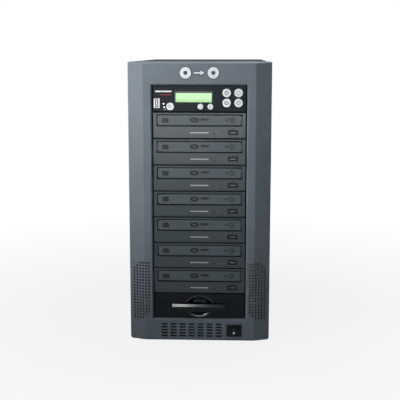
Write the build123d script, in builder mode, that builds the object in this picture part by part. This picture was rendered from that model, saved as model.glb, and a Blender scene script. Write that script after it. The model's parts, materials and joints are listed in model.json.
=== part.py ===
from build123d import *
import os
from math import cos, radians, sin, sqrt

os.makedirs("parts", exist_ok=True)

# Disc duplicator tower: a steel case with a moulded front bezel and nine 5.25-inch bays. From the top
# they hold a control panel, seven disc drives and a removable hard-disk rack.
# Millimetres, +Z up, the front faces -Y, and the origin is on the table under the middle of the tower.

# ---- Bays and faceplates ----
drive_count = 7
bay_pitch = 42.3
bay_width = 148.0
panel_gap = 1.3
panel_recess = 1.5
panel_thickness = 5.0
panel_chamfer = 1.0
running_gap = 0.3
round_sides = 24
lamp_sides = 8

# ---- Bezel ----
bezel_width = 229.9
bezel_flat_width = 179.0
bezel_rear_width = 220.0
bezel_depth = 32.0
bezel_wall = 3.0
cant_depth = 9.0
crease_radius = 3.0
bottom_margin = 37.4
top_margin = 34.3
top_rise = 2.6
top_rise_depth = 26.0
lower_chamfer = 2.5
opening_gap = 1.5
opening_chamfer = 2.0
rim_depth = 14.0
rim_wall = 2.0
vent_hole = 2.5
vent_pitch = 4.85
vent_columns = 6
vent_rows = 20
vent_corner_step = 2
vent_inset = 7.0
vent_rise = 1.0
slot_width = 9.9
slot_height = 2.4
slot_columns = 7
slot_rows = 5
slot_pitch_x = 14.83
slot_pitch_z = 4.98
slot_field_x = -12.9
lower_row_rise = 17.9
hook_width = 10.0
hook_thickness = 2.0
hook_barb = 1.5
hook_lead = 3.0
hook_pitch = 60.0
hook_count = 3

# ---- Case ----
case_width = 219.0
case_depth = 436.0
sheet = 1.0
bend_radius = 2.0
foot_height = 4.0
foot_radius = 10.0
foot_inset_x = 24.0
foot_inset_y = 28.0
cover_lip = 12.0
pan_flange = 15.0
screw_head_radius = 4.5
screw_head_height = 6.0
screw_head_sides = 12
screw_inset_z = 50.0
cage_depth = 150.0
cage_flange = 8.0
frame_window_margin = 6.5
frame_window_gap = 14.0
frame_windows = 3
shelf_gap = 0.3

# ---- Disc drives ----
drive_width = 146.0
drive_depth = 168.0
drive_wall = 1.2
door_width = 132.8
door_height = 16.3
door_below_top = 4.2
door_thickness = 4.0
door_gap = 0.8
door_chamfer = 0.5
tray_width = 128.5
tray_length = 160.0
tray_height = 8.0
tray_below_door_top = 2.5
tray_wall = 2.0
tray_front_land = 6.0
disc_recess_diameter = 120.5
disc_recess_depth = 3.0
spindle_slot_width = 40.0
spindle_slot_length = 74.0
spindle_slot_corner = 10.0
rail_ledge = 4.5
rail_thickness = 3.0
eject_x = 53.6
eject_below_top = 31.3
eject_width = 14.5
eject_height = 5.9
eject_thickness = 3.0
eject_sunk = 0.8
eject_ridge_width = 10.8
eject_ridge_height = 3.0
eject_ridge_proud = 0.9
pinhole_x = 23.6
pinhole_below_top = 33.5
pinhole_diameter = 1.4
button_travel = 0.8
switch_gap = 0.2
drive_light_x = 28.6
drive_light_below_top = 33.5
drive_light_width = 2.5
drive_light_height = 1.5
light_clearance = 0.1
light_proud = 0.2

# ---- Control panel ----
lcd_x = -9.2
lcd_below_top = 18.8
lcd_width = 57.6
lcd_height = 14.7
lcd_sunk = 1.0
lcd_clearance = 0.2
lcd_module_width = 62.0
lcd_module_height = 18.0
lcd_module_thickness = 3.0
button_clearance = 0.3
button_proud = 1.5
button_tail = 1.0
key_diameter = 13.2
key_columns_x = (43.1, 61.8)
key_rows_below = (11.3, 27.1)
small_key_diameter = 9.0
small_keys_x = (1.8, 17.4)
small_keys_below = 33.0
side_key_diameter = 12.0
side_key_x = -46.2
side_key_below = 32.8
panel_lights = ((-56.8, 28.5), (-55.8, 33.9))
panel_light_diameter = 2.5
usb_x = -67.6
usb_below_top = 27.6
usb_width = 6.0
usb_height = 13.2
usb_wall = 0.4
usb_flange_width = 9.5
usb_flange_height = 15.0
usb_flange_thickness = 0.6
usb_clearance = 0.15
usb_tongue_thickness = 2.0
usb_tongue_side = 1.2
usb_tongue_sunk = 1.5
board_thickness = 1.6
tact_switch_size = 6.0
display_board_width = 140.0
display_board_height = 36.0
control_box_depth = 120.0
controller_board_width = 130.0
controller_board_depth = 95.0
board_setback = 10.0
standoff_height = 5.0
standoff_size = 6.0
port_width = 7.5
port_depth = 12.0
port_height = 9.0
port_pitch = 14.0

# ---- Power switch ----
switch_x = 56.8
switch_flange_width = 24.6
switch_flange_height = 20.4
switch_flange_thickness = 1.2
switch_body_step = 1.2
switch_body_depth = 14.0
switch_body_clearance = 0.15
rocker_width = 19.0
rocker_height = 15.0
rocker_crown = 3.2
rocker_dip = 1.6
rocker_back = 4.0
rocker_heel = 0.9
rocker_heel_back = 1.5
rocker_side_gap = 0.3
rocker_end_gap = 0.7
rocker_half_throw = 7.0
rocker_pivot_sunk = 1.0

# ---- Removable rack ----
rack_front_thickness = 12.0
rack_crease_rise = 24.2
rack_crease_width = 1.0
rack_crease_depth = 0.8
bowl_width = 48.0
bowl_height = 36.7
bowl_rise = 20.4
bowl_depth = 9.0
bowl_sides = 32
handle_proud = 6.0
handle_width = 88.0
handle_top_rise = 24.8
handle_height = 13.0
handle_end_height = 11.0
handle_nose = 0.8
handle_ear_width = 4.0
handle_pin_diameter = 2.0
pin_clearance = 0.05
rack_frame_depth = 152.0
rack_wall = 2.0
caddy_width = 128.0
caddy_length = 148.0
caddy_height = 30.0
disk_width = 101.6
disk_length = 146.0
disk_height = 26.1
disk_chamfer = 1.5
disk_rib_gap = 0.2

# ---- Power supply and fans ----
psu_width = 150.0
psu_height = 86.0
psu_depth = 140.0
psu_opening_border = 4.0
inlet_x = -47.0
inlet_rise = 26.0
inlet_width = 27.0
inlet_height = 19.5
inlet_flange = 2.0
inlet_flange_border = 2.5
inlet_depth = 18.0
inlet_wall = 1.5
inlet_socket_depth = 16.0
inlet_pin_width = 2.0
inlet_pin_height = 4.0
inlet_pin_length = 11.0
inlet_pin_pitch = 7.0
inlet_earth_rise = 3.0
inlet_clearance = 0.15
fan_size = 80.0
fan_depth = 25.0
fan_bore = 76.0
bore_sides = 36
fan_blade_gap = 1.0
fan_hub_diameter = 32.0
fan_hub_depth = 18.0
fan_hub_base = 3.0
fan_strut_width = 5.0
fan_blades = 7
fan_blade_chord = 21.0
fan_blade_thickness = 1.6
fan_pitch = 50.0
fan_vent_pitch = 8.0
fan_vent_height = 4.5
psu_fan_x = 28.0
exhaust_fan_rise = 250.0

# ---- Levels and places worked out from them ----
bay_count = drive_count + 2
control_bay = 1
drive_bays = range(2, drive_count + 2)
rack_bay = bay_count
base_z = foot_height
stack_bottom = base_z + bottom_margin
stack_height = bay_count * bay_pitch
stack_top = stack_bottom + stack_height
stack_mid = (stack_bottom + stack_top) / 2
bezel_front_top = stack_top + top_margin
case_top = bezel_front_top + top_rise
bezel_height = case_top - base_z
front_y = -(case_depth + screw_head_height - handle_proud) / 2
panel_y = front_y + panel_recess
panel_back = panel_y + panel_thickness
chassis_y = front_y + bezel_depth
cover_back = front_y + case_depth
rear_inner = cover_back - 2 * sheet
pan_top = base_z + sheet
inner_width = case_width - 2 * sheet
inner_top = case_top - sheet
lower_row_z = base_z + lower_row_rise
faceplate_height = bay_pitch - panel_gap
opening_width = bay_width + 2 * opening_gap
rim_half_width = opening_width / 2 + rim_wall
cage_y = chassis_y + sheet
cage_half = drive_width / 2


def front_plane(y):
    """A sketch plane facing the viewer at depth y: its x is X and its y is Z."""
    return Plane.XZ.offset(-y)


def floor_plane(z):
    """A sketch plane facing up at height z."""
    return Plane.XY.offset(z)


def side_plane(x):
    """A sketch plane facing +X at x: its x is Y and its y is Z."""
    return Plane.YZ.offset(x)


def plate_bottom(bay):
    """Height of the lower edge of a bay's faceplate; bay 1 is the top one."""
    return stack_bottom + (bay_count - bay) * bay_pitch + panel_gap / 2


def plate_top(bay):
    return plate_bottom(bay) + faceplate_height


def plate_mid(bay):
    return plate_bottom(bay) + faceplate_height / 2


def save(builder, label):
    builder.part.label = label
    export_step(builder.part, f"parts/{label}.step")


def bezel_outline(overrun=0.0):
    """Plan of the bezel: a flat front, a canted strip each side, and sides that draw in to the case.

    The overrun carries the sides straight on past the back edge.
    """
    lean = (bezel_width - bezel_rear_width) / 2 / (bezel_depth - cant_depth)
    rear_half = bezel_rear_width / 2 - lean * overrun
    rear_y = chassis_y + overrun
    corners = [
        (-rear_half, rear_y),
        (-bezel_width / 2, front_y + cant_depth),
        (-bezel_flat_width / 2, front_y),
        (bezel_flat_width / 2, front_y),
        (bezel_width / 2, front_y + cant_depth),
        (rear_half, rear_y),
    ]
    with BuildSketch() as plan:
        with BuildLine():
            Polyline(*corners, close=True)
        make_face()
        creases = plan.vertices().filter_by(lambda v: v.Y < rear_y - crease_radius)
        fillet(creases, radius=crease_radius)
    return plan.sketch


def vent_positions():
    """Centres of the square perforations: two upright fields whose top outer and bottom inner
    corners step away by one hole a row."""
    first_x = opening_width / 2 + vent_inset
    top_z = stack_bottom + vent_rise + (vent_rows - 1) * vent_pitch
    places = []
    for row in range(vent_rows):
        start = max(0, row - (vent_rows - 1 - vent_corner_step))
        end = min(vent_columns, vent_columns - vent_corner_step + row)
        for column in range(start, end):
            x = first_x + column * vent_pitch
            z = top_z - row * vent_pitch
            places += [(x, z), (-x, z)]
    return places


def hook_places():
    """X of the bezel's snap hooks."""
    return [(k - (hook_count - 1) / 2) * hook_pitch for k in range(hook_count)]


def hook_root(side):
    """Height of a hook's inner face: side is 1 above the bays and -1 below."""
    return stack_mid + side * (stack_height / 2 + rim_wall)


def vent_rows_in_circle(x, z):
    """Straight air slots across a fan's bore, each as long as the bore's chord there."""
    reach = int(fan_bore / 2 / fan_vent_pitch)
    for row in range(-reach, reach + 1):
        rise = abs(row) * fan_vent_pitch + fan_vent_height / 2
        half_chord = sqrt(max((fan_bore / 2) ** 2 - rise**2, fan_vent_height**2))
        with Locations((x, z + row * fan_vent_pitch)):
            Rectangle(2 * half_chord, fan_vent_height)


# ---- Front bezel ----
outer_plan = bezel_outline()
inner_plan = bezel_outline(overrun=bezel_wall)

with BuildPart() as front_bezel:
    with BuildSketch(floor_plane(base_z)):
        add(outer_plan)
    extrude(amount=bezel_height)
    lower_edges = front_bezel.faces().sort_by(Axis.Z)[0].edges()
    chamfer(lower_edges.sort_by(Axis.Y)[:-1], length=lower_chamfer)
    with BuildSketch(side_plane(0)):
        with BuildLine():
            Polyline(
                (front_y, bezel_front_top),
                (front_y + top_rise_depth, case_top),
                (front_y, case_top),
                close=True,
            )
        make_face()
    extrude(amount=bezel_width, both=True, mode=Mode.SUBTRACT)
    with BuildSketch(floor_plane(base_z + bezel_wall)):
        offset(inner_plan, amount=-bezel_wall)
    extrude(amount=bezel_front_top - base_z - 2 * bezel_wall, mode=Mode.SUBTRACT)
    with BuildSketch(front_plane(front_y + bezel_wall)):
        with Locations((0, stack_mid)):
            Rectangle(2 * rim_half_width, stack_height + 2 * rim_wall)
    extrude(amount=bezel_wall - rim_depth)
    with BuildSketch(front_plane(front_y)):
        with Locations((0, stack_mid)):
            Rectangle(opening_width, stack_height)
    extrude(amount=-rim_depth, mode=Mode.SUBTRACT)
    front_face = front_bezel.faces().sort_by(Axis.Y)[0]
    chamfer(front_face.inner_wires()[0].edges(), length=opening_chamfer)
    for side in (1, -1):
        with BuildSketch(side_plane(-hook_width / 2)):
            with BuildLine():
                root = hook_root(side)
                tip = cage_y + running_gap + hook_lead
                back_of_plate = cage_y + running_gap
                outer = root + side * hook_thickness
                Polyline(
                    (front_y + bezel_wall, root),
                    (tip, root),
                    (tip, root + side * hook_thickness / 2),
                    (back_of_plate, outer + side * hook_barb),
                    (back_of_plate, outer),
                    (front_y + bezel_wall, outer),
                    close=True,
                )
            make_face()
        with Locations(*[(x, 0, 0) for x in hook_places()]):
            extrude(amount=hook_width)
    with BuildSketch(front_plane(front_y)):
        with Locations(*vent_positions()):
            Rectangle(vent_hole, vent_hole)
        with Locations((slot_field_x, lower_row_z)):
            with GridLocations(slot_pitch_x, slot_pitch_z, slot_columns, slot_rows):
                Rectangle(slot_width, slot_height)
        with Locations((switch_x, lower_row_z)):
            Rectangle(
                switch_flange_width - 2 * switch_body_step + 2 * switch_body_clearance,
                switch_flange_height - 2 * switch_body_step + 2 * switch_body_clearance,
            )
    extrude(amount=-(cant_depth + bezel_wall), mode=Mode.SUBTRACT)
save(front_bezel, "front_bezel")

# ---- Sheet-metal case ----
with BuildPart() as outer_cover:
    with BuildSketch(front_plane(chassis_y)) as cover_section:
        with BuildLine():
            Polyline(
                (-case_width / 2, base_z),
                (-case_width / 2, case_top),
                (case_width / 2, case_top),
                (case_width / 2, base_z),
                close=True,
            )
        make_face()
        fillet(cover_section.vertices().group_by(Axis.Y)[-1], radius=bend_radius)
    extrude(amount=-case_depth + bezel_depth)
    with BuildSketch(front_plane(chassis_y)) as hollow_section:
        with BuildLine():
            Polyline(
                (-inner_width / 2, base_z),
                (-inner_width / 2, inner_top),
                (inner_width / 2, inner_top),
                (inner_width / 2, base_z),
                close=True,
            )
        make_face()
        fillet(hollow_section.vertices().group_by(Axis.Y)[-1], radius=bend_radius - sheet)
    extrude(amount=-case_depth + bezel_depth + sheet, mode=Mode.SUBTRACT)
    with BuildSketch(front_plane(cover_back - sheet)):
        with Locations((0, base_z)):
            Rectangle(
                inner_width - 2 * cover_lip,
                inner_top - base_z - cover_lip,
                align=(Align.CENTER, Align.MIN),
            )
    extrude(amount=-sheet, mode=Mode.SUBTRACT)
save(outer_cover, "outer_cover")

with BuildPart() as base_pan:
    pan_length = rear_inner - cage_y
    with BuildSketch(front_plane(cage_y)):
        with Locations((0, base_z)):
            Rectangle(inner_width, pan_flange, align=(Align.CENTER, Align.MIN))
        with Locations((0, pan_top)):
            Rectangle(
                inner_width - 2 * sheet,
                pan_flange,
                align=(Align.CENTER, Align.MIN),
                mode=Mode.SUBTRACT,
            )
    extrude(amount=-pan_length)
save(base_pan, "base_pan")

with BuildPart() as front_frame:
    plate_height = inner_top - base_z
    with BuildSketch(front_plane(chassis_y)) as frame_outline:
        with Locations((0, base_z)):
            Rectangle(inner_width, plate_height, align=(Align.CENTER, Align.MIN))
        fillet(frame_outline.vertices().group_by(Axis.Y)[-1], radius=bend_radius - sheet)
    extrude(amount=-sheet)
    with BuildSketch(front_plane(chassis_y)):
        with Locations((0, stack_mid)):
            Rectangle(drive_width, stack_height)
        window_height = (stack_height - (frame_windows + 1) * frame_window_gap) / frame_windows
        window_start = opening_width / 2 + vent_inset - vent_hole
        window_width = inner_width / 2 - frame_window_margin - window_start
        for side in (1, -1):
            with Locations((side * (window_start + window_width / 2), stack_mid)):
                with GridLocations(1, window_height + frame_window_gap, 1, frame_windows):
                    Rectangle(window_width, window_height)
        with Locations((slot_field_x, lower_row_z)):
            Rectangle(slot_columns * slot_pitch_x, slot_rows * slot_pitch_z)
        with Locations((switch_x, lower_row_z)):
            Rectangle(switch_flange_width, switch_flange_height)
        for side in (1, -1):
            slot_mid = hook_root(side) + side * (hook_thickness - hook_barb) / 2
            with Locations(*[(x, slot_mid) for x in hook_places()]):
                Rectangle(
                    hook_width + 2 * running_gap,
                    hook_thickness + hook_barb + 2 * running_gap,
                )
    extrude(amount=-sheet, mode=Mode.SUBTRACT)
save(front_frame, "front_frame")

with BuildPart() as bay_cage:
    plate_rise = inner_top - pan_top
    with BuildSketch(floor_plane(pan_top)):
        for side in (1, -1):
            with Locations((side * (cage_half + sheet / 2), cage_y)):
                Rectangle(sheet, cage_depth, align=(Align.CENTER, Align.MIN))
            with Locations((side * (cage_half + cage_flange / 2), cage_y)):
                Rectangle(cage_flange, sheet, align=(Align.CENTER, Align.MIN))
    extrude(amount=plate_rise)
    top_strap_z = plate_top(control_bay) + shelf_gap
    shelf_z = plate_bottom(rack_bay) - shelf_gap - sheet
    for level in (top_strap_z, shelf_z):
        with BuildSketch(floor_plane(level)):
            with Locations((0, cage_y)):
                Rectangle(2 * cage_half, cage_depth, align=(Align.CENTER, Align.MIN))
        extrude(amount=sheet)
save(bay_cage, "bay_cage")

with BuildPart() as rear_panel:
    with BuildSketch(front_plane(rear_inner)) as panel_outline:
        with Locations((0, base_z)):
            Rectangle(inner_width, inner_top - base_z, align=(Align.CENTER, Align.MIN))
        fillet(panel_outline.vertices().group_by(Axis.Y)[-1], radius=bend_radius - sheet)
    extrude(amount=-sheet)
    with BuildSketch(front_plane(rear_inner)):
        with Locations((0, pan_top + psu_opening_border)):
            Rectangle(
                psu_width - 2 * psu_opening_border,
                psu_height - 2 * psu_opening_border,
                align=(Align.CENTER, Align.MIN),
            )
        vent_rows_in_circle(0, exhaust_fan_rise)
    extrude(amount=-sheet, mode=Mode.SUBTRACT)
save(rear_panel, "rear_panel")

with BuildPart() as rubber_feet:
    foot_x = case_width / 2 - foot_inset_x
    with BuildSketch(floor_plane(0)):
        with Locations(
            *[
                (x, y)
                for x in (-foot_x, foot_x)
                for y in (cage_y + foot_inset_y, rear_inner - foot_inset_y)
            ]
        ):
            RegularPolygon(foot_radius, round_sides)
    extrude(amount=foot_height)
save(rubber_feet, "rubber_feet")

with BuildPart() as cover_screws:
    screw_x = inner_width / 2 - cover_lip / 2
    with BuildSketch(front_plane(cover_back)):
        with Locations(
            *[
                (x, z)
                for x in (-screw_x, screw_x)
                for z in (base_z + screw_inset_z, case_top - screw_inset_z)
            ]
        ):
            RegularPolygon(screw_head_radius, screw_head_sides)
    extrude(amount=-screw_head_height)
save(cover_screws, "cover_screws")

# ---- Control panel, bay 1 ----
control_top = plate_top(control_bay)
control_bottom = plate_bottom(control_bay)
board_y = panel_back + lcd_module_thickness
board_back = board_y + board_thickness

keys = {
    "key_upper_left": (key_columns_x[0], key_rows_below[0], key_diameter),
    "key_upper_right": (key_columns_x[1], key_rows_below[0], key_diameter),
    "key_lower_left": (key_columns_x[0], key_rows_below[1], key_diameter),
    "key_lower_right": (key_columns_x[1], key_rows_below[1], key_diameter),
    "small_key_left": (small_keys_x[0], small_keys_below, small_key_diameter),
    "small_key_right": (small_keys_x[1], small_keys_below, small_key_diameter),
    "side_key": (side_key_x, side_key_below, side_key_diameter),
}

with BuildPart() as control_panel:
    with BuildSketch(front_plane(panel_y)):
        with Locations((0, plate_mid(control_bay))):
            Rectangle(bay_width, faceplate_height)
    extrude(amount=-panel_thickness)
    chamfer(control_panel.faces().sort_by(Axis.Y)[0].edges(), length=panel_chamfer)
    with BuildSketch(front_plane(panel_y)):
        with Locations((lcd_x, control_top - lcd_below_top)):
            Rectangle(lcd_width, lcd_height)
        with Locations((usb_x, control_top - usb_below_top)):
            Rectangle(usb_width + 2 * usb_clearance, usb_height + 2 * usb_clearance)
        for x, below, diameter in keys.values():
            with Locations((x, control_top - below)):
                RegularPolygon(diameter / 2 + button_clearance, round_sides, major_radius=False)
        with Locations(*[(x, control_top - below) for x, below in panel_lights]):
            RegularPolygon(
                panel_light_diameter / 2 + light_clearance, lamp_sides, major_radius=False
            )
    extrude(amount=-panel_thickness, mode=Mode.SUBTRACT)
save(control_panel, "control_panel")

for name, (x, below, diameter) in keys.items():
    with BuildPart() as key:
        with BuildSketch(front_plane(panel_y - button_proud)):
            with Locations((x, control_top - below)):
                RegularPolygon(diameter / 2, round_sides, major_radius=False)
        extrude(amount=-(button_proud + panel_thickness + button_tail))
    save(key, name)

with BuildPart() as lcd_screen:
    with BuildSketch(front_plane(panel_y + lcd_sunk)):
        with Locations((lcd_x, control_top - lcd_below_top)):
            Rectangle(lcd_width - 2 * lcd_clearance, lcd_height - 2 * lcd_clearance)
    extrude(amount=-(panel_thickness - lcd_sunk))
save(lcd_screen, "lcd_screen")

with BuildPart() as lcd_module:
    with BuildSketch(front_plane(panel_back)):
        with Locations((lcd_x, control_top - lcd_below_top)):
            Rectangle(lcd_module_width, lcd_module_height)
    extrude(amount=-lcd_module_thickness)
save(lcd_module, "lcd_module")

with BuildPart() as display_board:
    with BuildSketch(front_plane(board_y)):
        with Locations((0, control_bottom + sheet)):
            Rectangle(
                display_board_width,
                display_board_height,
                align=(Align.CENTER, Align.MIN),
            )
    extrude(amount=-board_thickness)
    with BuildSketch(front_plane(board_y)):
        with Locations(*[(x, control_top - below) for x, below, _ in keys.values()]):
            Rectangle(tact_switch_size, tact_switch_size)
    extrude(amount=lcd_module_thickness - button_tail - button_travel - switch_gap)
save(display_board, "display_board")

with BuildPart() as control_box:
    with BuildSketch(front_plane(panel_back)):
        with Locations((0, control_bottom)):
            Rectangle(drive_width, faceplate_height, align=(Align.CENTER, Align.MIN))
        with Locations((0, control_bottom + sheet)):
            Rectangle(
                drive_width - 2 * sheet,
                faceplate_height,
                align=(Align.CENTER, Align.MIN),
                mode=Mode.SUBTRACT,
            )
    extrude(amount=-control_box_depth)
    with BuildSketch(floor_plane(control_bottom + sheet)):
        with Locations((0, board_back + board_setback + controller_board_depth / 2)):
            with GridLocations(
                controller_board_width - standoff_size,
                controller_board_depth - standoff_size,
                2,
                2,
            ):
                Rectangle(standoff_size, standoff_size)
    extrude(amount=standoff_height)
save(control_box, "control_box")

with BuildPart() as controller_board:
    board_floor = control_bottom + sheet + standoff_height
    board_middle = board_back + board_setback + controller_board_depth / 2
    with BuildSketch(floor_plane(board_floor)):
        with Locations((0, board_middle)):
            Rectangle(controller_board_width, controller_board_depth)
    extrude(amount=board_thickness)
    with BuildSketch(floor_plane(board_floor + board_thickness)):
        with Locations((0, board_middle + (controller_board_depth - port_depth) / 2)):
            with GridLocations(port_pitch, 1, drive_count + 1, 1):
                Rectangle(port_width, port_depth)
    extrude(amount=port_height)
save(controller_board, "controller_board")

with BuildPart() as usb_shell:
    usb_z = control_top - usb_below_top
    with BuildSketch(front_plane(panel_y - usb_flange_thickness)):
        with Locations((usb_x, usb_z)):
            Rectangle(usb_flange_width, usb_flange_height)
    extrude(amount=-usb_flange_thickness)
    with BuildSketch(front_plane(panel_y)):
        with Locations((usb_x, usb_z)):
            Rectangle(usb_width, usb_height)
    extrude(amount=-(board_y - panel_y))
    with BuildSketch(front_plane(panel_y - usb_flange_thickness)):
        with Locations((usb_x, usb_z)):
            Rectangle(usb_width - 2 * usb_wall, usb_height - 2 * usb_wall)
    extrude(amount=-(board_y - panel_y + usb_flange_thickness), mode=Mode.SUBTRACT)
save(usb_shell, "usb_shell")

with BuildPart() as usb_tongue:
    tongue_height = usb_height - 2 * usb_wall - 2 * usb_tongue_side
    tongue_y = panel_y + usb_tongue_sunk
    with BuildSketch(front_plane(tongue_y)):
        with Locations((usb_x - usb_width / 2 + usb_wall + usb_tongue_side, usb_z)):
            Rectangle(usb_tongue_thickness, tongue_height, align=(Align.MIN, Align.CENTER))
    extrude(amount=-(board_y - tongue_y))
save(usb_tongue, "usb_tongue")

with BuildPart() as indicator_lights:
    with BuildSketch(front_plane(panel_y - light_proud)):
        for bay in drive_bays:
            with Locations((drive_light_x, plate_top(bay) - drive_light_below_top)):
                Rectangle(drive_light_width, drive_light_height)
        with Locations(*[(x, control_top - below) for x, below in panel_lights]):
            RegularPolygon(panel_light_diameter / 2, lamp_sides, major_radius=False)
    extrude(amount=-(light_proud + panel_thickness))
save(indicator_lights, "indicator_lights")

# ---- Power switch, under the bays ----
switch_body_width = switch_flange_width - 2 * switch_body_step
switch_body_height = switch_flange_height - 2 * switch_body_step

with BuildPart() as power_switch_frame:
    with BuildSketch(front_plane(front_y - switch_flange_thickness)):
        with Locations((switch_x, lower_row_z)):
            Rectangle(switch_flange_width, switch_flange_height)
    extrude(amount=-switch_flange_thickness)
    chamfer(
        power_switch_frame.faces().sort_by(Axis.Y)[0].edges(),
        length=switch_flange_thickness / 2,
    )
    with BuildSketch(front_plane(front_y)):
        with Locations((switch_x, lower_row_z)):
            Rectangle(switch_body_width, switch_body_height)
    extrude(amount=-switch_body_depth)
    with BuildSketch(front_plane(front_y - switch_flange_thickness)):
        with Locations((switch_x, lower_row_z)):
            Rectangle(rocker_width + 2 * rocker_side_gap, rocker_height + 2 * rocker_end_gap)
    extrude(
        amount=-(switch_flange_thickness + switch_body_depth - switch_body_step),
        mode=Mode.SUBTRACT,
    )
save(power_switch_frame, "power_switch_frame")

with BuildPart() as power_rocker:
    throw = radians(-rocker_half_throw)
    rocker_plane = Plane(
        origin=(switch_x - rocker_width / 2, front_y + rocker_pivot_sunk, lower_row_z),
        x_dir=(0, cos(throw), sin(throw)),
        z_dir=(1, 0, 0),
    )
    half = rocker_height / 2
    with BuildSketch(rocker_plane):
        with BuildLine():
            Polyline(
                (rocker_heel_back, half - rocker_heel),
                (-rocker_crown, half),
                (-rocker_dip, 0),
                (-rocker_crown, -half),
                (rocker_heel_back, rocker_heel - half),
                (rocker_back, 0),
                close=True,
            )
        make_face()
    extrude(amount=rocker_width)
save(power_rocker, "power_rocker")

# ---- Disc drives, bays 2 to 8 ----
housing_back = panel_back + drive_depth
drive_inner_half = drive_width / 2 - drive_wall
ledge_half = tray_width / 2 - rail_ledge


def door_top(bay):
    return plate_top(bay) - door_below_top


def tray_top(bay):
    return door_top(bay) - tray_below_door_top


def tray_bottom(bay):
    return tray_top(bay) - tray_height


with BuildPart() as drive_housings:
    with BuildSketch(front_plane(panel_back)):
        with Locations(*[(0, plate_mid(bay)) for bay in drive_bays]):
            Rectangle(drive_width, faceplate_height)
            Rectangle(
                2 * drive_inner_half,
                faceplate_height - 2 * drive_wall,
                mode=Mode.SUBTRACT,
            )
    extrude(amount=-(drive_depth - drive_wall))
    with BuildSketch(front_plane(housing_back - drive_wall)):
        with Locations(*[(0, plate_mid(bay)) for bay in drive_bays]):
            Rectangle(drive_width, faceplate_height)
    extrude(amount=-drive_wall)
    with BuildSketch(front_plane(panel_back)):
        for bay in drive_bays:
            ledge_top = tray_bottom(bay) - running_gap
            with BuildLine():
                Polyline(
                    (drive_inner_half, tray_top(bay)),
                    (tray_width / 2 + running_gap, tray_top(bay)),
                    (tray_width / 2 + running_gap, ledge_top),
                    (ledge_half, ledge_top),
                    (ledge_half, ledge_top - rail_thickness),
                    (drive_inner_half, ledge_top - rail_thickness),
                    close=True,
                )
            make_face()
        mirror(about=Plane.YZ)
    extrude(amount=-(drive_depth - drive_wall))
save(drive_housings, "drive_housings")

with BuildPart() as drive_bezels:
    with BuildSketch(front_plane(panel_y)):
        with Locations(*[(0, plate_mid(bay)) for bay in drive_bays]):
            Rectangle(bay_width, faceplate_height)
    extrude(amount=-panel_thickness)
    chamfer(drive_bezels.faces().group_by(Axis.Y)[0].edges(), length=panel_chamfer)
    with BuildSketch(front_plane(panel_y)):
        for bay in drive_bays:
            with Locations((0, door_top(bay) - door_height / 2)):
                Rectangle(door_width + 2 * door_gap, door_height + 2 * door_gap)
            with Locations((eject_x, plate_top(bay) - eject_below_top)):
                Rectangle(eject_width + 2 * running_gap, eject_height + 2 * running_gap)
            with Locations((drive_light_x, plate_top(bay) - drive_light_below_top)):
                Rectangle(
                    drive_light_width + 2 * light_clearance,
                    drive_light_height + 2 * light_clearance,
                )
            with Locations((pinhole_x, plate_top(bay) - pinhole_below_top)):
                RegularPolygon(pinhole_diameter / 2, lamp_sides, major_radius=False)
    extrude(amount=-panel_thickness, mode=Mode.SUBTRACT)
save(drive_bezels, "drive_bezels")

for number, bay in enumerate(drive_bays, start=1):
    with BuildPart() as tray_door:
        with BuildSketch(front_plane(panel_y)):
            with Locations((0, door_top(bay) - door_height / 2)):
                Rectangle(door_width, door_height)
        extrude(amount=-door_thickness)
        chamfer(tray_door.faces().sort_by(Axis.Y)[0].edges(), length=door_chamfer)
    save(tray_door, f"tray_door_{number}")

    tray_y = panel_y + door_thickness
    disc_y = tray_y + tray_front_land + disc_recess_diameter / 2
    with BuildPart() as tray:
        with BuildSketch(floor_plane(tray_bottom(bay))):
            with Locations((0, tray_y)):
                Rectangle(tray_width, tray_length, align=(Align.CENTER, Align.MIN))
        extrude(amount=tray_height)
        with BuildSketch(floor_plane(tray_bottom(bay))):
            with Locations((0, tray_y + tray_wall)):
                Rectangle(
                    tray_width - 2 * tray_wall,
                    tray_length - 2 * tray_wall,
                    align=(Align.CENTER, Align.MIN),
                )
        extrude(amount=tray_height - disc_recess_depth - tray_wall, mode=Mode.SUBTRACT)
        with BuildSketch(floor_plane(tray_top(bay))):
            with Locations((0, disc_y)):
                RegularPolygon(disc_recess_diameter / 2, round_sides, major_radius=False)
        extrude(amount=-disc_recess_depth, mode=Mode.SUBTRACT)
        with BuildSketch(floor_plane(tray_bottom(bay))) as spindle_slot:
            with Locations((0, disc_y - spindle_slot_width / 2)):
                Rectangle(
                    spindle_slot_width,
                    spindle_slot_length,
                    align=(Align.CENTER, Align.MIN),
                )
            chamfer(spindle_slot.vertices(), length=spindle_slot_corner)
        extrude(amount=tray_height, mode=Mode.SUBTRACT)
    save(tray, f"tray_{number}")

    with BuildPart() as eject_button:
        eject_z = plate_top(bay) - eject_below_top
        cap_y = panel_y + eject_sunk
        with BuildSketch(front_plane(cap_y)):
            with Locations((eject_x, eject_z)):
                Rectangle(eject_width, eject_height)
        extrude(amount=-eject_thickness)
        with BuildSketch(front_plane(cap_y)):
            with Locations((eject_x, eject_z)):
                Rectangle(eject_ridge_width, eject_ridge_height)
        extrude(amount=eject_ridge_proud)
    save(eject_button, f"eject_button_{number}")

# ---- Removable hard-disk rack, bay 9 ----
rack_bottom = plate_bottom(rack_bay)
rack_back = panel_y + rack_front_thickness
handle_top = rack_bottom + handle_top_rise
handle_front = front_y - handle_proud
handle_radius = (panel_y - running_gap - handle_front) / 2
handle_axis_y = handle_front + handle_radius
handle_axis_z = handle_top - handle_radius
bar_width = handle_width - 2 * handle_ear_width - 2 * running_gap
# The bar's nose slopes down from its top, and its top back edge is cut round so that it swings clear.
nose_top = (handle_axis_y, handle_top)
nose_bottom = (handle_front, handle_axis_z - handle_nose)

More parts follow.
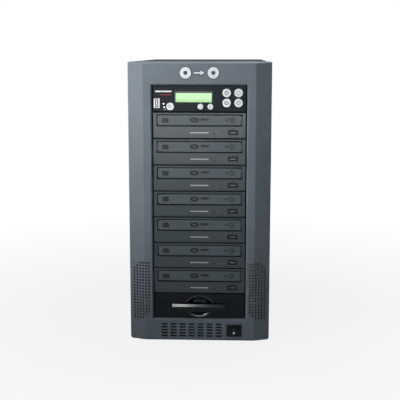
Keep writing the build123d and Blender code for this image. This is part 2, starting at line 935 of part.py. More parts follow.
with BuildPart() as rack_caddy_front:
    with BuildSketch(front_plane(panel_y)):
        with Locations((0, plate_mid(rack_bay))):
            Rectangle(bay_width, faceplate_height)
    extrude(amount=-rack_front_thickness)
    chamfer(rack_caddy_front.faces().sort_by(Axis.Y)[0].edges(), length=panel_chamfer)
    with BuildSketch(front_plane(panel_y)):
        with Locations((0, rack_bottom + rack_crease_rise)):
            Rectangle(bay_width, rack_crease_width)
    extrude(amount=-rack_crease_depth, mode=Mode.SUBTRACT)
    for side in (1, -1):
        with BuildSketch(side_plane(side * (handle_width / 2 - handle_ear_width / 2))):
            with BuildLine():
                Polyline(
                    nose_top,
                    nose_bottom,
                    (handle_front, handle_axis_z - handle_radius),
                    (panel_y + rack_crease_depth, handle_axis_z - handle_radius),
                    (panel_y + rack_crease_depth, handle_top),
                    close=True,
                )
            make_face()
            with Locations((handle_axis_y, handle_axis_z)):
                Circle(handle_pin_diameter / 2 + pin_clearance, mode=Mode.SUBTRACT)
        extrude(amount=handle_ear_width / 2, both=True)
    with BuildSketch(front_plane(panel_y)):
        with BuildLine():
            Polyline(
                *[
                    (
                        bowl_width / 2 * cos(radians(360 * corner / bowl_sides)),
                        rack_bottom
                        + bowl_rise
                        + bowl_height / 2 * sin(radians(360 * corner / bowl_sides)),
                    )
                    for corner in range(bowl_sides)
                ],
                close=True,
            )
        make_face()
    extrude(amount=-bowl_depth, mode=Mode.SUBTRACT)
save(rack_caddy_front, "rack_caddy_front")

with BuildPart() as rack_handle:
    with BuildSketch(side_plane(-bar_width / 2)):
        back_corners = [
            (
                handle_axis_y + handle_radius * cos(radians(90 * step / 3)),
                handle_axis_z + handle_radius * sin(radians(90 * step / 3)),
            )
            for step in range(3)
        ]
        with BuildLine():
            Polyline(
                nose_top,
                nose_bottom,
                (handle_front, handle_top - handle_height),
                (handle_axis_y + handle_radius, handle_top - handle_height),
                *back_corners,
                close=True,
            )
        make_face()
        with Locations((handle_axis_y, handle_axis_z)):
            Circle(handle_pin_diameter / 2 + pin_clearance, mode=Mode.SUBTRACT)
    extrude(amount=bar_width)
    with BuildSketch(front_plane(handle_front)):
        with BuildLine():
            Polyline(
                (-bar_width / 2, handle_top - handle_end_height),
                (-bar_width / 2, handle_top),
                (bar_width / 2, handle_top),
                (bar_width / 2, handle_top - handle_end_height),
            )
            ThreePointArc(
                (bar_width / 2, handle_top - handle_end_height),
                (0, handle_top - handle_height),
                (-bar_width / 2, handle_top - handle_end_height),
            )
        make_face()
    extrude(amount=-2 * handle_radius, mode=Mode.INTERSECT)
save(rack_handle, "rack_handle")

with BuildPart() as handle_pin:
    with BuildSketch(side_plane(-handle_width / 2)):
        with Locations((handle_axis_y, handle_axis_z)):
            Circle(handle_pin_diameter / 2)
    extrude(amount=handle_width)
save(handle_pin, "handle_pin")

with BuildPart() as rack_frame:
    with BuildSketch(front_plane(rack_back + running_gap)):
        with Locations((0, plate_mid(rack_bay))):
            Rectangle(drive_width, faceplate_height)
    extrude(amount=-rack_frame_depth)
    with BuildSketch(front_plane(rack_back + running_gap)):
        with Locations((0, plate_mid(rack_bay))):
            Rectangle(caddy_width + 2 * running_gap, faceplate_height - 2 * rack_wall)
    extrude(amount=-(rack_frame_depth - rack_wall), mode=Mode.SUBTRACT)
save(rack_frame, "rack_frame")

caddy_bottom = rack_bottom + rack_wall + running_gap
caddy_floor = caddy_bottom + rack_wall

with BuildPart() as rack_caddy_tray:
    with BuildSketch(floor_plane(caddy_bottom)):
        with Locations((0, rack_back)):
            Rectangle(caddy_width, caddy_length, align=(Align.CENTER, Align.MIN))
    extrude(amount=caddy_height)
    rib_outer = disk_width / 2 + disk_rib_gap + rack_wall
    channel_width = caddy_width / 2 - rack_wall - rib_outer
    with BuildSketch(floor_plane(caddy_floor)):
        with Locations((0, rack_back + rack_wall)):
            Rectangle(
                disk_width + 2 * disk_rib_gap,
                caddy_length - rack_wall,
                align=(Align.CENTER, Align.MIN),
            )
        for side in (1, -1):
            with Locations((side * (rib_outer + channel_width / 2), rack_back + rack_wall)):
                Rectangle(
                    channel_width,
                    caddy_length - 2 * rack_wall,
                    align=(Align.CENTER, Align.MIN),
                )
    extrude(amount=caddy_height, mode=Mode.SUBTRACT)
save(rack_caddy_tray, "rack_caddy_tray")

with BuildPart() as hard_disk:
    with BuildSketch(floor_plane(caddy_floor)):
        with Locations((0, rack_back + rack_wall)):
            Rectangle(disk_width, disk_length, align=(Align.CENTER, Align.MIN))
    extrude(amount=disk_height)
    chamfer(hard_disk.faces().sort_by(Axis.Z)[-1].edges(), length=disk_chamfer)
save(hard_disk, "hard_disk")

# ---- Power supply, behind the bays on the base pan ----
psu_back = rear_inner
psu_front = psu_back - psu_depth
psu_mid_z = pan_top + psu_height / 2
inlet_z = pan_top + inlet_rise


with BuildPart() as psu_case:
    with BuildSketch(front_plane(psu_front)):
        with Locations((0, psu_mid_z)):
            Rectangle(psu_width, psu_height)
    extrude(amount=-psu_depth)
    with BuildSketch(front_plane(psu_front + sheet)):
        with Locations((0, psu_mid_z)):
            Rectangle(psu_width - 2 * sheet, psu_height - 2 * sheet)
    extrude(amount=-(psu_depth - 2 * sheet), mode=Mode.SUBTRACT)
    with BuildSketch(front_plane(psu_back - sheet)):
        vent_rows_in_circle(psu_fan_x, psu_mid_z)
        with Locations((inlet_x, inlet_z)):
            Rectangle(inlet_width + 2 * inlet_clearance, inlet_height + 2 * inlet_clearance)
    extrude(amount=-sheet, mode=Mode.SUBTRACT)
save(psu_case, "psu_case")

with BuildPart() as power_inlet:
    with BuildSketch(front_plane(psu_back)):
        with Locations((inlet_x, inlet_z)):
            Rectangle(
                inlet_width + 2 * inlet_flange_border, inlet_height + 2 * inlet_flange_border
            )
    extrude(amount=-inlet_flange)
    with BuildSketch(front_plane(psu_back)):
        with Locations((inlet_x, inlet_z)):
            Rectangle(inlet_width, inlet_height)
    extrude(amount=inlet_depth)
    socket_floor = psu_back + inlet_flange - inlet_socket_depth
    with BuildSketch(front_plane(socket_floor)):
        with Locations((inlet_x, inlet_z)):
            Rectangle(inlet_width - 2 * inlet_wall, inlet_height - 2 * inlet_wall)
    extrude(amount=-inlet_socket_depth, mode=Mode.SUBTRACT)
    with BuildSketch(front_plane(socket_floor)):
        with Locations(
            (inlet_x - inlet_pin_pitch, inlet_z),
            (inlet_x, inlet_z + inlet_earth_rise),
            (inlet_x + inlet_pin_pitch, inlet_z),
        ):
            Rectangle(inlet_pin_width, inlet_pin_height)
    extrude(amount=-inlet_pin_length)
save(power_inlet, "power_inlet")

# ---- Fans: one in the power supply and one above it, both blowing out at the back ----
fan_places = {
    "psu_fan_rotor": (psu_fan_x, psu_mid_z, psu_back - sheet),
    "exhaust_fan_rotor": (0.0, exhaust_fan_rise, rear_inner),
}

with BuildPart() as fan_frames:
    for x, z, back in fan_places.values():
        with BuildSketch(front_plane(back - fan_depth)):
            with Locations((x, z)):
                Rectangle(fan_size, fan_size)
                RegularPolygon(fan_bore / 2, bore_sides, major_radius=False, mode=Mode.SUBTRACT)
        extrude(amount=-fan_depth)
        with BuildSketch(front_plane(back - fan_depth)):
            with Locations((x, z)):
                RegularPolygon(fan_hub_diameter / 2, round_sides)
                Rectangle(fan_bore + fan_blade_gap, fan_strut_width)
                Rectangle(fan_strut_width, fan_bore + fan_blade_gap)
        extrude(amount=-fan_hub_base)
save(fan_frames, "fan_frames")

for name, (x, z, back) in fan_places.items():
    hub_front = back - fan_depth + fan_hub_base + running_gap
    tip_half_width = fan_blade_chord / 2 * sin(radians(fan_pitch))
    blade_inner = fan_hub_diameter / 2 - fan_blade_thickness
    blade_outer = sqrt((fan_bore / 2 - fan_blade_gap) ** 2 - tip_half_width**2)
    with BuildPart() as rotor:
        with BuildSketch(front_plane(hub_front)):
            with Locations((x, z)):
                RegularPolygon(fan_hub_diameter / 2, round_sides)
        extrude(amount=-fan_hub_depth)
        for blade in range(fan_blades):
            turn = radians(blade * 360 / fan_blades)
            reach = Vector(cos(turn), 0, sin(turn))
            sideways = Vector(-sin(turn), 0, cos(turn))
            chord = Vector(0, cos(radians(fan_pitch)), 0) + sideways * sin(radians(fan_pitch))
            root = Vector(x, hub_front + fan_hub_depth / 2, z) + reach * blade_inner
            with BuildSketch(Plane(origin=root, x_dir=chord, z_dir=reach)):
                Rectangle(fan_blade_chord, fan_blade_thickness)
            extrude(amount=blade_outer - blade_inner)
    save(rotor, name)
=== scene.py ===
import json
import math

import bmesh
import bpy
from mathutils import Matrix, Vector
from mathutils.bvhtree import BVHTree

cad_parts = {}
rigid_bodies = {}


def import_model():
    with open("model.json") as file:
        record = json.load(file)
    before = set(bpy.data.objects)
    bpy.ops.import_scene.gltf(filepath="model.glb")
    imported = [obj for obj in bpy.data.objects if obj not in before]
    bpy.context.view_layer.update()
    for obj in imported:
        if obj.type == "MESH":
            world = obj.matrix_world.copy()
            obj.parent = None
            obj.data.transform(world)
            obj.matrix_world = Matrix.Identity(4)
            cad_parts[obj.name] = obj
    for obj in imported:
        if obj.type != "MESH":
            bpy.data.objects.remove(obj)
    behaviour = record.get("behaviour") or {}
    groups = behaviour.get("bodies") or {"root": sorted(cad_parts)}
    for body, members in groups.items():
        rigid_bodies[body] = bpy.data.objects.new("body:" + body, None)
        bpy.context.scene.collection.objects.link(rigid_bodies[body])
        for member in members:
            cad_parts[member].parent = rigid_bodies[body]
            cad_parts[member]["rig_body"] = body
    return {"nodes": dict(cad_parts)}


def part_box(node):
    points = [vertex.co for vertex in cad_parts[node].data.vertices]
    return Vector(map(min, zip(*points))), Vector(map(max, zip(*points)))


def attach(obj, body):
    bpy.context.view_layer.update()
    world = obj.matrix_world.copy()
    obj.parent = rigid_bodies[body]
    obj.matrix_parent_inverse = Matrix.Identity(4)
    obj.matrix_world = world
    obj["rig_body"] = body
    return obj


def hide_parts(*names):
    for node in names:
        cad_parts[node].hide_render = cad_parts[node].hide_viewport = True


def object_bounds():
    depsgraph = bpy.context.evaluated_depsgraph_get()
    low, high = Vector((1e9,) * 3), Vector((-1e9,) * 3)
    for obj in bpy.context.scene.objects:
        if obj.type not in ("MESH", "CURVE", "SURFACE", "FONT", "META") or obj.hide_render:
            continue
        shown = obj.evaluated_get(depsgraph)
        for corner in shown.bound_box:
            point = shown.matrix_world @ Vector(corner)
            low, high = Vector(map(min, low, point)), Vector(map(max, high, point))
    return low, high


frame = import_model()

# Looks of the disc duplicator tower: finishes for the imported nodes, printed marks and small
# fittings on them, a pale floor, studio light and the camera. Metres, +Z up, the front faces -Y.
# "Across" is along X and "up" or "rise" along Z. Tables that say so are in millimetres.

cad_low, cad_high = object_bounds()
nodes = frame["nodes"]
MM = 0.001
DRIVES = range(1, 8)


# ---------------------------------------------------------------- node trees
def tone(rgb, factor=1.0):
    """Linear colour of an sRGB one given in 0-255, lightened or darkened by a factor."""
    shares = [min(255.0, c * factor) / 255 for c in rgb]
    return (*[s / 12.92 if s <= 0.04045 else ((s + 0.055) / 1.055) ** 2.4 for s in shares], 1.0)


class Tree:
    """Adds nodes to a node tree. An input is a value, or the output that it is linked from."""

    def __init__(self, tree):
        self.tree = tree

    def set(self, node, key, value):
        socket = node.inputs[key]
        if isinstance(value, bpy.types.NodeSocket):
            self.tree.links.new(value, socket)
        else:
            socket.default_value = value

    def node(self, kind, settings=None, **inputs):
        made = self.tree.nodes.new(kind)
        for key, value in (settings or {}).items():
            setattr(made, key, value)
        for key, value in inputs.items():
            self.set(made, key.replace("_", " "), value)
        return made

    def number(self, operation, first, second):
        made = self.node("ShaderNodeMath", {"operation": operation})
        self.set(made, 0, first)
        self.set(made, 1, second)
        return made.outputs[0]

    def blend(self, factor, first, second):
        made = self.node("ShaderNodeMix", {"data_type": "RGBA"})
        for index, value in ((0, factor), (6, first), (7, second)):
            self.set(made, index, value)
        return made.outputs[2]

    def spread(self, value, low=0.0, high=1.0, from_low=0.3, from_high=0.7):
        made = self.node(
            "ShaderNodeMapRange",
            Value=value, From_Min=from_low, From_Max=from_high, To_Min=low, To_Max=high,
        )
        return made.outputs["Result"]


class Material(Tree):
    """A Principled material whose colour, roughness and bump come from object coordinates."""

    def __init__(
        self, name, roughness=0.5, metallic=0.0, specular=0.5, coat=0.0, coat_roughness=0.1
    ):
        self.material = bpy.data.materials.new(name)
        self.material.use_nodes = True
        super().__init__(self.material.node_tree)
        self.shader = self.tree.nodes["Principled BSDF"]
        for socket, value in (
            ("Roughness", roughness), ("Metallic", metallic), ("Specular IOR Level", specular),
            ("Coat Weight", coat), ("Coat Roughness", coat_roughness),
        ):
            self.set(self.shader, socket, value)
        self.place = self.node("ShaderNodeTexCoord").outputs["Object"]

    def noise(self, scale, detail=3.0, roughness=0.55, stretch=None):
        vector = self.place
        if stretch:
            vector = self.node("ShaderNodeMapping", Vector=vector, Scale=stretch).outputs["Vector"]
        made = self.node(
            "ShaderNodeTexNoise", Vector=vector, Scale=scale, Detail=detail, Roughness=roughness
        )
        return made.outputs["Fac"]

    def cells(self, scale):
        made = self.node("ShaderNodeTexVoronoi", Vector=self.place, Scale=scale)
        parted = self.node("ShaderNodeSeparateColor", Color=made.outputs["Color"])
        return parted.outputs["Red"]

    def tones(self, factor, rgb, low, high):
        return self.blend(factor, tone(rgb, low), tone(rgb, high))

    def colour(self, value):
        self.set(self.shader, "Base Color", value)

    def rough(self, value):
        self.set(self.shader, "Roughness", value)

    def glow(self, colour, strength):
        self.set(self.shader, "Emission Color", colour)
        self.set(self.shader, "Emission Strength", strength)

    def bump(self, height, depth, strength):
        made = self.node("ShaderNodeBump", Height=height, Strength=strength, Distance=depth)
        self.set(self.shader, "Normal", made.outputs["Normal"])


# ---------------------------------------------------------------- kinds of finish
def moulded(
    name, rgb, roughness, mottle=0.05, speckle=0.08, grain=2600.0, depth=0.03, wear=0.045, **shader
):
    """Moulded or sprayed plastic: faint mottling, a fine speckle and a spark-eroded grain."""
    made = Material(name, roughness=roughness, **shader)
    broad = made.spread(made.noise(scale=14.0, detail=4.0))
    grain_height = made.noise(grain, detail=2.0)
    low, high = 1 - mottle, 1 + mottle
    dark = made.tones(broad, rgb, low, high)
    light = made.tones(broad, rgb, low * (1 + speckle), high * (1 + speckle))
    made.colour(made.blend(made.spread(grain_height), dark, light))
    made.rough(made.spread(made.noise(scale=60.0), roughness - wear, roughness + wear))
    made.bump(grain_height, depth * MM, strength=0.35)
    return made.material


def glossy(name, rgb, roughness, mottle=0.04, ripple=0.02, **shader):
    """Smooth glossy plastic with a slight moulding ripple and faint handling haze."""
    made = Material(name, roughness=roughness, **shader)
    haze = made.noise(scale=22.0, detail=5.0)
    made.colour(made.tones(made.spread(haze), rgb, 1 - mottle, 1 + mottle))
    made.rough(made.spread(haze, roughness * 0.8, roughness * 1.35))
    made.bump(made.noise(scale=90.0, detail=1.0), ripple * MM, strength=0.3)
    return made.material


def painted_steel(name, rgb):
    """Textured powder paint on sheet steel."""
    made = Material(name, roughness=0.7, specular=0.01)
    broad = made.spread(made.noise(scale=6.0, detail=5.0))
    pebbles = made.noise(scale=1500.0, detail=3.0, roughness=0.6)
    hollows = made.tones(broad, rgb, 0.94, 1.0)
    tops = made.tones(broad, rgb, 1.03, 1.1)
    made.colour(made.blend(made.spread(pebbles), hollows, tops))
    made.rough(made.spread(made.noise(scale=35.0), 0.66, 0.78))
    made.bump(pebbles, 0.06 * MM, strength=0.4)
    return made.material


def zinc_steel(name, rgb, roughness=0.42):
    """Zinc-coated sheet with its crystal spangle and rolling lines."""
    made = Material(name, roughness=roughness, metallic=0.85)
    crystals = made.cells(scale=110.0)
    rolled = made.noise(scale=500.0, detail=2.0, stretch=(1.0, 0.04, 1.0))
    base = made.tones(crystals, rgb, 0.88, 1.08)
    lined = made.tones(crystals, rgb, 0.96, 1.14)
    made.colour(made.blend(made.spread(rolled), base, lined))
    made.rough(made.spread(crystals, roughness - 0.08, roughness + 0.08, 0.0, 1.0))
    made.bump(rolled, 0.02 * MM, strength=0.25)
    return made.material


def machined(name, rgb, roughness=0.25, stretch=(1.0, 1.0, 0.05)):
    """Bright metal with fine drawn lines."""
    made = Material(name, roughness=roughness, metallic=1.0)
    lines = made.noise(scale=1800.0, detail=2.0, stretch=stretch)
    made.colour(made.tones(made.spread(lines), rgb, 0.92, 1.05))
    made.rough(made.spread(lines, roughness - 0.06, roughness + 0.08))
    made.bump(lines, 0.01 * MM, strength=0.3)
    return made.material


def circuit_board(name):
    """Green solder mask with paler copper tracks and tinned pads under it."""
    made = Material(name, roughness=0.35, coat=0.3, coat_roughness=0.2)
    tracks = made.node(
        "ShaderNodeTexBrick",
        {"offset": 0.5, "squash": 0.7, "squash_frequency": 3},
        Vector=made.place, Scale=210.0, Mortar_Size=0.035,
        Color1=tone((14, 74, 42)), Color2=tone((18, 84, 48)), Mortar=tone((44, 126, 76)),
    )
    pads = made.spread(made.cells(scale=330.0), 0.0, 1.0, 0.93, 0.96)
    made.colour(made.blend(pads, tracks.outputs["Color"], tone((190, 192, 184))))
    made.rough(made.spread(pads, 0.35, 0.22, 0.0, 1.0))
    made.bump(tracks.outputs["Fac"], 0.03 * MM, strength=0.4)
    return made.material


def display_glass(name, low, high, columns=16, rows=2):
    """Lit green character display: rows of faint cells behind clear glass."""
    made = Material(name, roughness=0.14, coat=0.5, coat_roughness=0.05)
    width, height = (high.x - low.x) * 0.92, (high.z - low.z) * 0.74
    left, bottom = (low.x + high.x - width) / 2, (low.z + high.z - height) / 2
    parted = made.node("ShaderNodeSeparateXYZ", Vector=made.place)
    flat = made.node(
        "ShaderNodeCombineXYZ",
        X=made.number("SUBTRACT", parted.outputs["X"], left),
        Y=made.number("SUBTRACT", parted.outputs["Z"], bottom),
    )
    cell = made.node(
        "ShaderNodeTexBrick", {"offset": 0.0},
        Vector=flat.outputs[0], Scale=1.0, Brick_Width=width / columns, Row_Height=height / rows,
        Mortar_Size=0.5 * MM, Mortar_Smooth=0.15,
        Color1=tone((118, 172, 100)), Color2=tone((122, 176, 104)), Mortar=tone((130, 186, 112)),
    )
    uneven = made.spread(made.noise(scale=60.0), 0.0, 1.0, 0.2, 0.8)
    lit = made.blend(uneven, cell.outputs["Color"], tone((136, 191, 116)))
    made.colour(lit)
    made.glow(lit, 0.12)
    return made.material


def lens(name, rgb, strength):
    """Tinted lamp lens with a paler core."""
    made = Material(name, roughness=0.18, coat=0.6, coat_roughness=0.08)
    tint = made.tones(made.spread(made.noise(scale=700.0, detail=2.0)), rgb, 0.85, 1.1)
    made.colour(tint)
    made.glow(tint, strength)
    return made.material


def printed(name, rgb):
    """Screen-printed ink with slight thin spots."""
    made = Material(name, roughness=0.45, specular=0.4)
    made.colour(made.tones(made.spread(made.noise(scale=1200.0)), rgb, 0.93, 1.04))
    made.bump(made.noise(scale=3000.0, detail=1.0), 0.01 * MM, strength=0.2)
    return made.material


# ---------------------------------------------------------------- the finishes
bezel_plastic = moulded(
    "bezel_plastic", (88, 95, 101), 0.46, speckle=0.16, grain=1100.0, depth=0.05, specular=0.25
)
# Painted shade: a near-black finish for the walls inside the bezel's vents
vent_shade_plastic = moulded("vent_shade_plastic", (20, 22, 25), 0.7, specular=0.1)
case_paint = painted_steel("case_paint", (78, 85, 86))
# Near-black paint on the front frame, chosen as painted shade for the view through the vents
frame_shade_paint = painted_steel("frame_shade_paint", (16, 17, 19))
bare_steel = zinc_steel("bare_steel", (176, 178, 180))
foot_rubber = moulded("foot_rubber", (26, 26, 27), 0.75, mottle=0.08, grain=1400.0, depth=0.08)
panel_film = moulded(
    "panel_film", (29, 33, 37), 0.4, mottle=0.03, speckle=0.05, depth=0.015, specular=0.1
)
key_plastic = moulded(
    "key_plastic", (212, 215, 219), 0.3, mottle=0.01, speckle=0.015, grain=3600.0, depth=0.01
)
drive_plastic = moulded(
    "drive_plastic", (43, 50, 54), 0.3, mottle=0.02, depth=0.015, wear=0.01, specular=0.75
)
door_plastic = moulded(
    "door_plastic", (60, 68, 72), 0.38, mottle=0.03, depth=0.03, wear=0.015, specular=0.6
)
button_plastic = moulded("button_plastic", (24, 27, 30), 0.36, depth=0.02, specular=0.4)
# Painted shade: near-black, for the gaps and side walls round the drives' doors and buttons
gap_shade_plastic = moulded("gap_shade_plastic", (14, 16, 18), 0.75, specular=0.1)
tray_plastic = moulded("tray_plastic", (40, 42, 45), 0.5, mottle=0.05, depth=0.05)
switch_plastic = moulded("switch_plastic", (20, 22, 25), 0.4, depth=0.02, specular=0.25)
rocker_plastic = glossy("rocker_plastic", (17, 19, 22), 0.26, specular=0.2)
rack_gloss = glossy("rack_gloss", (8, 12, 20), 0.13, specular=0.32)
bar_gloss = glossy("bar_gloss", (8, 12, 20), 0.14, specular=0.4)
bowl_gloss = glossy("bowl_gloss", (8, 12, 20), 0.14, specular=0.9, coat=0.4, coat_roughness=0.1)
rack_plastic = moulded("rack_plastic", (30, 31, 34), 0.5)
fan_plastic = moulded("fan_plastic", (27, 28, 30), 0.4, depth=0.02)
# Painted shade: a near-black foam sheet that keeps the slots dark inside
slot_shade_foam = moulded(
    "slot_shade_foam", (12, 13, 14), 0.9, mottle=0.2, grain=900.0, depth=0.4, specular=0.05
)
plug_shell = machined("plug_shell", (176, 178, 180), 0.34)
tongue_plastic = glossy("tongue_plastic", (228, 229, 229), 0.3)
disk_alloy = machined("disk_alloy", (168, 171, 174), 0.38, stretch=(1.0, 0.1, 1.0))
board_green = circuit_board("board_green")
# A dark frame for the LCD, its wide top band painted shade
lcd_frame_and_shade = glossy("lcd_frame_and_shade", (30, 54, 30), 0.22)
pin_steel = machined("pin_steel", (196, 198, 200), 0.22)
contact_gold = machined("contact_gold", (214, 176, 98))
clear_lamp = lens("clear_lamp", (214, 220, 224), 0.15)
pale_lamp = lens("pale_lamp", (112, 118, 114), 0.0)
white_ink = printed("white_ink", (214, 218, 221))
bar_ink = printed("bar_ink", (168, 173, 177))
grey_ink = printed("grey_ink", (148, 153, 158))
dark_ink = printed("dark_ink", (18, 20, 22))
soft_ink = printed("soft_ink", (42, 46, 50))
soft_grey_ink = printed("soft_grey_ink", (104, 110, 114))
red_ink = printed("red_ink", (132, 34, 38))
badge_silver = machined("badge_silver", (178, 182, 186), 0.45)
badge_dark = glossy("badge_dark", (18, 19, 21), 0.3)
screw_zinc = machined("screw_zinc", (188, 190, 192), 0.26)

finishes = {
    "front_bezel": bezel_plastic,
    "outer_cover": case_paint,
    "front_frame": frame_shade_paint,
    "rubber_feet": foot_rubber,
    "control_panel": panel_film,
    "lcd_module": rack_plastic,
    "lcd_screen": display_glass("lcd_green", *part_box("lcd_screen")),
    "display_board": board_green,
    "controller_board": board_green,
    "usb_shell": plug_shell,
    "usb_tongue": tongue_plastic,
    "power_switch_frame": switch_plastic,
    "power_rocker": rocker_plastic,
    "drive_bezels": drive_plastic,
    "rack_caddy_front": rack_gloss,
    "rack_handle": bar_gloss,
    "handle_pin": pin_steel,
    "rack_frame": rack_plastic,
    "rack_caddy_tray": rack_plastic,
    "hard_disk": disk_alloy,
    "fan_frames": fan_plastic,
    "psu_fan_rotor": fan_plastic,
    "exhaust_fan_rotor": fan_plastic,
    "power_inlet": switch_plastic,
    "indicator_lights": pale_lamp,
}
for name in (
    "base_pan", "bay_cage", "rear_panel", "control_box", "drive_housings", "psu_case",
    "cover_screws",
):
    finishes[name] = bare_steel
for number in DRIVES:
    finishes[f"tray_{number}"] = tray_plastic
    finishes[f"tray_door_{number}"] = door_plastic
    finishes[f"eject_button_{number}"] = button_plastic

for name in nodes:
    data = nodes[name].data
    data.materials.clear()
    data.materials.append(finishes.get(name, key_plastic))
    for polygon in data.polygons:
        polygon.material_index = 0


def pick_faces(name, material, chosen):
    """Gives the faces that chosen(centre, normal) names another material."""
    data = nodes[name].data
    data.materials.append(material)
    for polygon in data.polygons:
        if chosen(polygon.center, polygon.normal):
            polygon.material_index = len(data.materials) - 1


def in_vent_shade(centre, normal):
    """The walls of the bezel's perforations and louvre slots, which take a near-black painted
    shade.
    """
    across, rise = abs(centre.x) / MM, centre.z / MM
    in_slots = across < 100 and 7 < rise < 37
    in_perforations = 77 < across < 112 and 8 < rise < 200
    return abs(normal.y) < 0.6 and (in_slots or in_perforations)


def middle(name):
    """Across and up, where a node's box has its middle at rest."""
    low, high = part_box(name)
    return (low.x + high.x) / 2, (low.z + high.z) / 2


inlet_x, inlet_z = middle("power_inlet")
inlet_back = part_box("power_inlet")[1].y
PIN_PLACES = ((-7.0, 0.0), (0.0, 3.0), (7.0, 0.0))  # mm across and up from the inlet's middle
PIN_REACH = (1.2, 2.2)  # mm across and up from a pin's middle
PIN_DEPTHS = (4.9, 15.9)  # mm from the inlet's back


def is_pin(centre, normal):
    """The inlet's three pins, which stand in its socket."""
    across, rise = (centre.x - inlet_x) / MM, (centre.z - inlet_z) / MM
    depth = (inlet_back - centre.y) / MM
    return PIN_DEPTHS[0] <= depth <= PIN_DEPTHS[1] and any(
        abs(across - x) < PIN_REACH[0] and abs(rise - z) < PIN_REACH[1] for x, z in PIN_PLACES
    )


# painted shade on the walls of the bezel's vents
pick_faces("front_bezel", vent_shade_plastic, in_vent_shade)
# painted shade on the faceplate's side walls round the doors and buttons
pick_faces("drive_bezels", gap_shade_plastic, lambda centre, normal: abs(normal.y) < 0.5)
pick_faces("indicator_lights", clear_lamp, lambda centre, normal: centre.x < 0)
pick_faces("power_inlet", pin_steel, is_pin)


# ---------------------------------------------------------------- edges
def bevel(thing, width, angle, segments):
    """Rounds the edges sharper than an angle in degrees, to a width in mm."""
    rounding = thing.modifiers.new("rounding", "BEVEL")
    rounding.limit_method = "ANGLE"
    rounding.angle_limit = math.radians(angle)
    rounding.width = width * MM
    rounding.segments = segments
    return rounding


def crisp(piece, angle):
    """Keeps the edges sharper than an angle in degrees out of the smooth shading."""
    piece.modifiers.new("crisp", "EDGE_SPLIT").split_angle = math.radians(angle)


def soften(name, width):
    """Rounds a node's sharp edges, which real mouldings and folded sheet never have."""
    target = nodes[name]
    target.modifiers.new("weld", "WELD").merge_threshold = 2e-6
    flat = target.modifiers.new("flat", "DECIMATE")
    flat.decimate_type = "DISSOLVE"
    flat.angle_limit = math.radians(0.6)
    rounding = bevel(target, width, angle=32.0, segments=2)
    rounding.use_clamp_overlap = False
    rounding.harden_normals = True
    rounding.miter_outer = "MITER_ARC"


for number in DRIVES:
    soften(f"tray_door_{number}", 0.25)
    soften(f"eject_button_{number}", 0.2)
for name, width in (
    ("outer_cover", 0.3), ("power_switch_frame", 0.25), ("power_rocker", 0.5),
    ("usb_shell", 0.08), ("rack_handle", 0.5),
):
    soften(name, width)


# ---------------------------------------------------------------- outlines, across and up
def oval(x, z, half_width, half_height, count=40):
    turns = [2 * math.pi * k / count for k in range(count)]
    return [(x + half_width * math.cos(t), z + half_height * math.sin(t)) for t in turns]


def circle(x, z, radius, count=40):
    return oval(x, z, radius, radius, count)


def rounded(x, z, width, height, radius, count):
    """A rectangle with round corners of count steps each."""
    points = []
    for corner_x, corner_z, start in (
        (x + width / 2 - radius, z - height / 2 + radius, -90),
        (x + width / 2 - radius, z + height / 2 - radius, 0),
        (x - width / 2 + radius, z + height / 2 - radius, 90),
        (x - width / 2 + radius, z - height / 2 + radius, 180),
    ):
        for k in range(count + 1):
            turn = math.radians(start + 90 * k / count)
            point = (corner_x + radius * math.cos(turn), corner_z + radius * math.sin(turn))
            if not points or math.dist(point, points[-1]) > 1e-7:
                points.append(point)
    if math.dist(points[0], points[-1]) < 1e-7:
        points.pop()
    return points


def capsule(x, z, width, height):
    """A bar with round ends."""
    return rounded(x, z, width, height, min(width, height) / 2, 8)


def triangle(x, z, width, height, up=True):
    rise = height / 2 if up else -height / 2
    points = [(x - width / 2, z - rise), (x + width / 2, z - rise), (x, z + rise)]
    return points if up else points[::-1]


def ring_round(x, z, width, height, level, side):
    """A rectangular frame round a box, as its outline and its hole.

    It reaches level above and below the box, or the first above and the second below, and side
    to the left and right.
    """
    above, below = level if isinstance(level, tuple) else (level, level)

    def corners(reach, over, under):
        left, right = x - width / 2 - reach, x + width / 2 + reach
        bottom, top = z - height / 2 - under, z + height / 2 + over
        return [(left, bottom), (right, bottom), (right, top), (left, top)]

    return corners(side, above, below), corners(0.0, 0.0, 0.0)


def toward(outline, x, z, count=36):
    """Points where even rays from inside an outline meet it, for the hole of a printed mark."""
    met = []
    for k in range(count):
        turn = 2 * math.pi * k / count
        ray = (math.cos(turn), math.sin(turn))
        best = None
        for first, second in zip(outline, outline[1:] + outline[:1]):
            side = (second[0] - first[0], second[1] - first[1])
            cross = ray[0] * side[1] - ray[1] * side[0]
            if abs(cross) < 1e-12:
                continue
            gap = (first[0] - x, first[1] - z)
            along = (gap[0] * side[1] - gap[1] * side[0]) / cross
            share = (gap[0] * ray[1] - gap[1] * ray[0]) / cross
            if along > 0 and -1e-9 <= share <= 1 + 1e-9 and (best is None or along < best):
                best = along
        met.append((x + ray[0] * best, z + ray[1] * best))
    return met


# ---------------------------------------------------------------- building pieces
def body_of(name):
    return nodes[name]["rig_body"]


def finished(mesh, name, smooth=False):
    """Mesh data of a bmesh, its faces turned outward and its small faces smooth if asked."""
    bmesh.ops.recalc_face_normals(mesh, faces=mesh.faces)
    for face in mesh.faces:
        face.smooth = smooth and len(face.verts) < 5
    data = bpy.data.meshes.new(name)
    mesh.to_mesh(data)
    mesh.free()
    return data


def as_piece(name, data, material, body):
    made = bpy.data.objects.new(name, data)
    bpy.context.scene.collection.objects.link(made)
    data.materials.append(material)
    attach(made, body)
    return made


def ring(mesh, x, y, z, half_width, half_height, count, notch=0.0):
    """Vertices round a front-to-back axis, or one if it has no width. Odd ones go in by notch."""
    if half_width < 1e-9:
        return [mesh.verts.new((x, y, z))]
    made = []
    for k in range(count):
        turn = 2 * math.pi * k / count
        inward = notch if k % 2 else 0.0
        made.append(
            mesh.verts.new(
                (
                    x + (half_width - inward) * math.cos(turn),
                    y,
                    z + (half_height - inward) * math.sin(turn),
                )
            )
        )
    return made


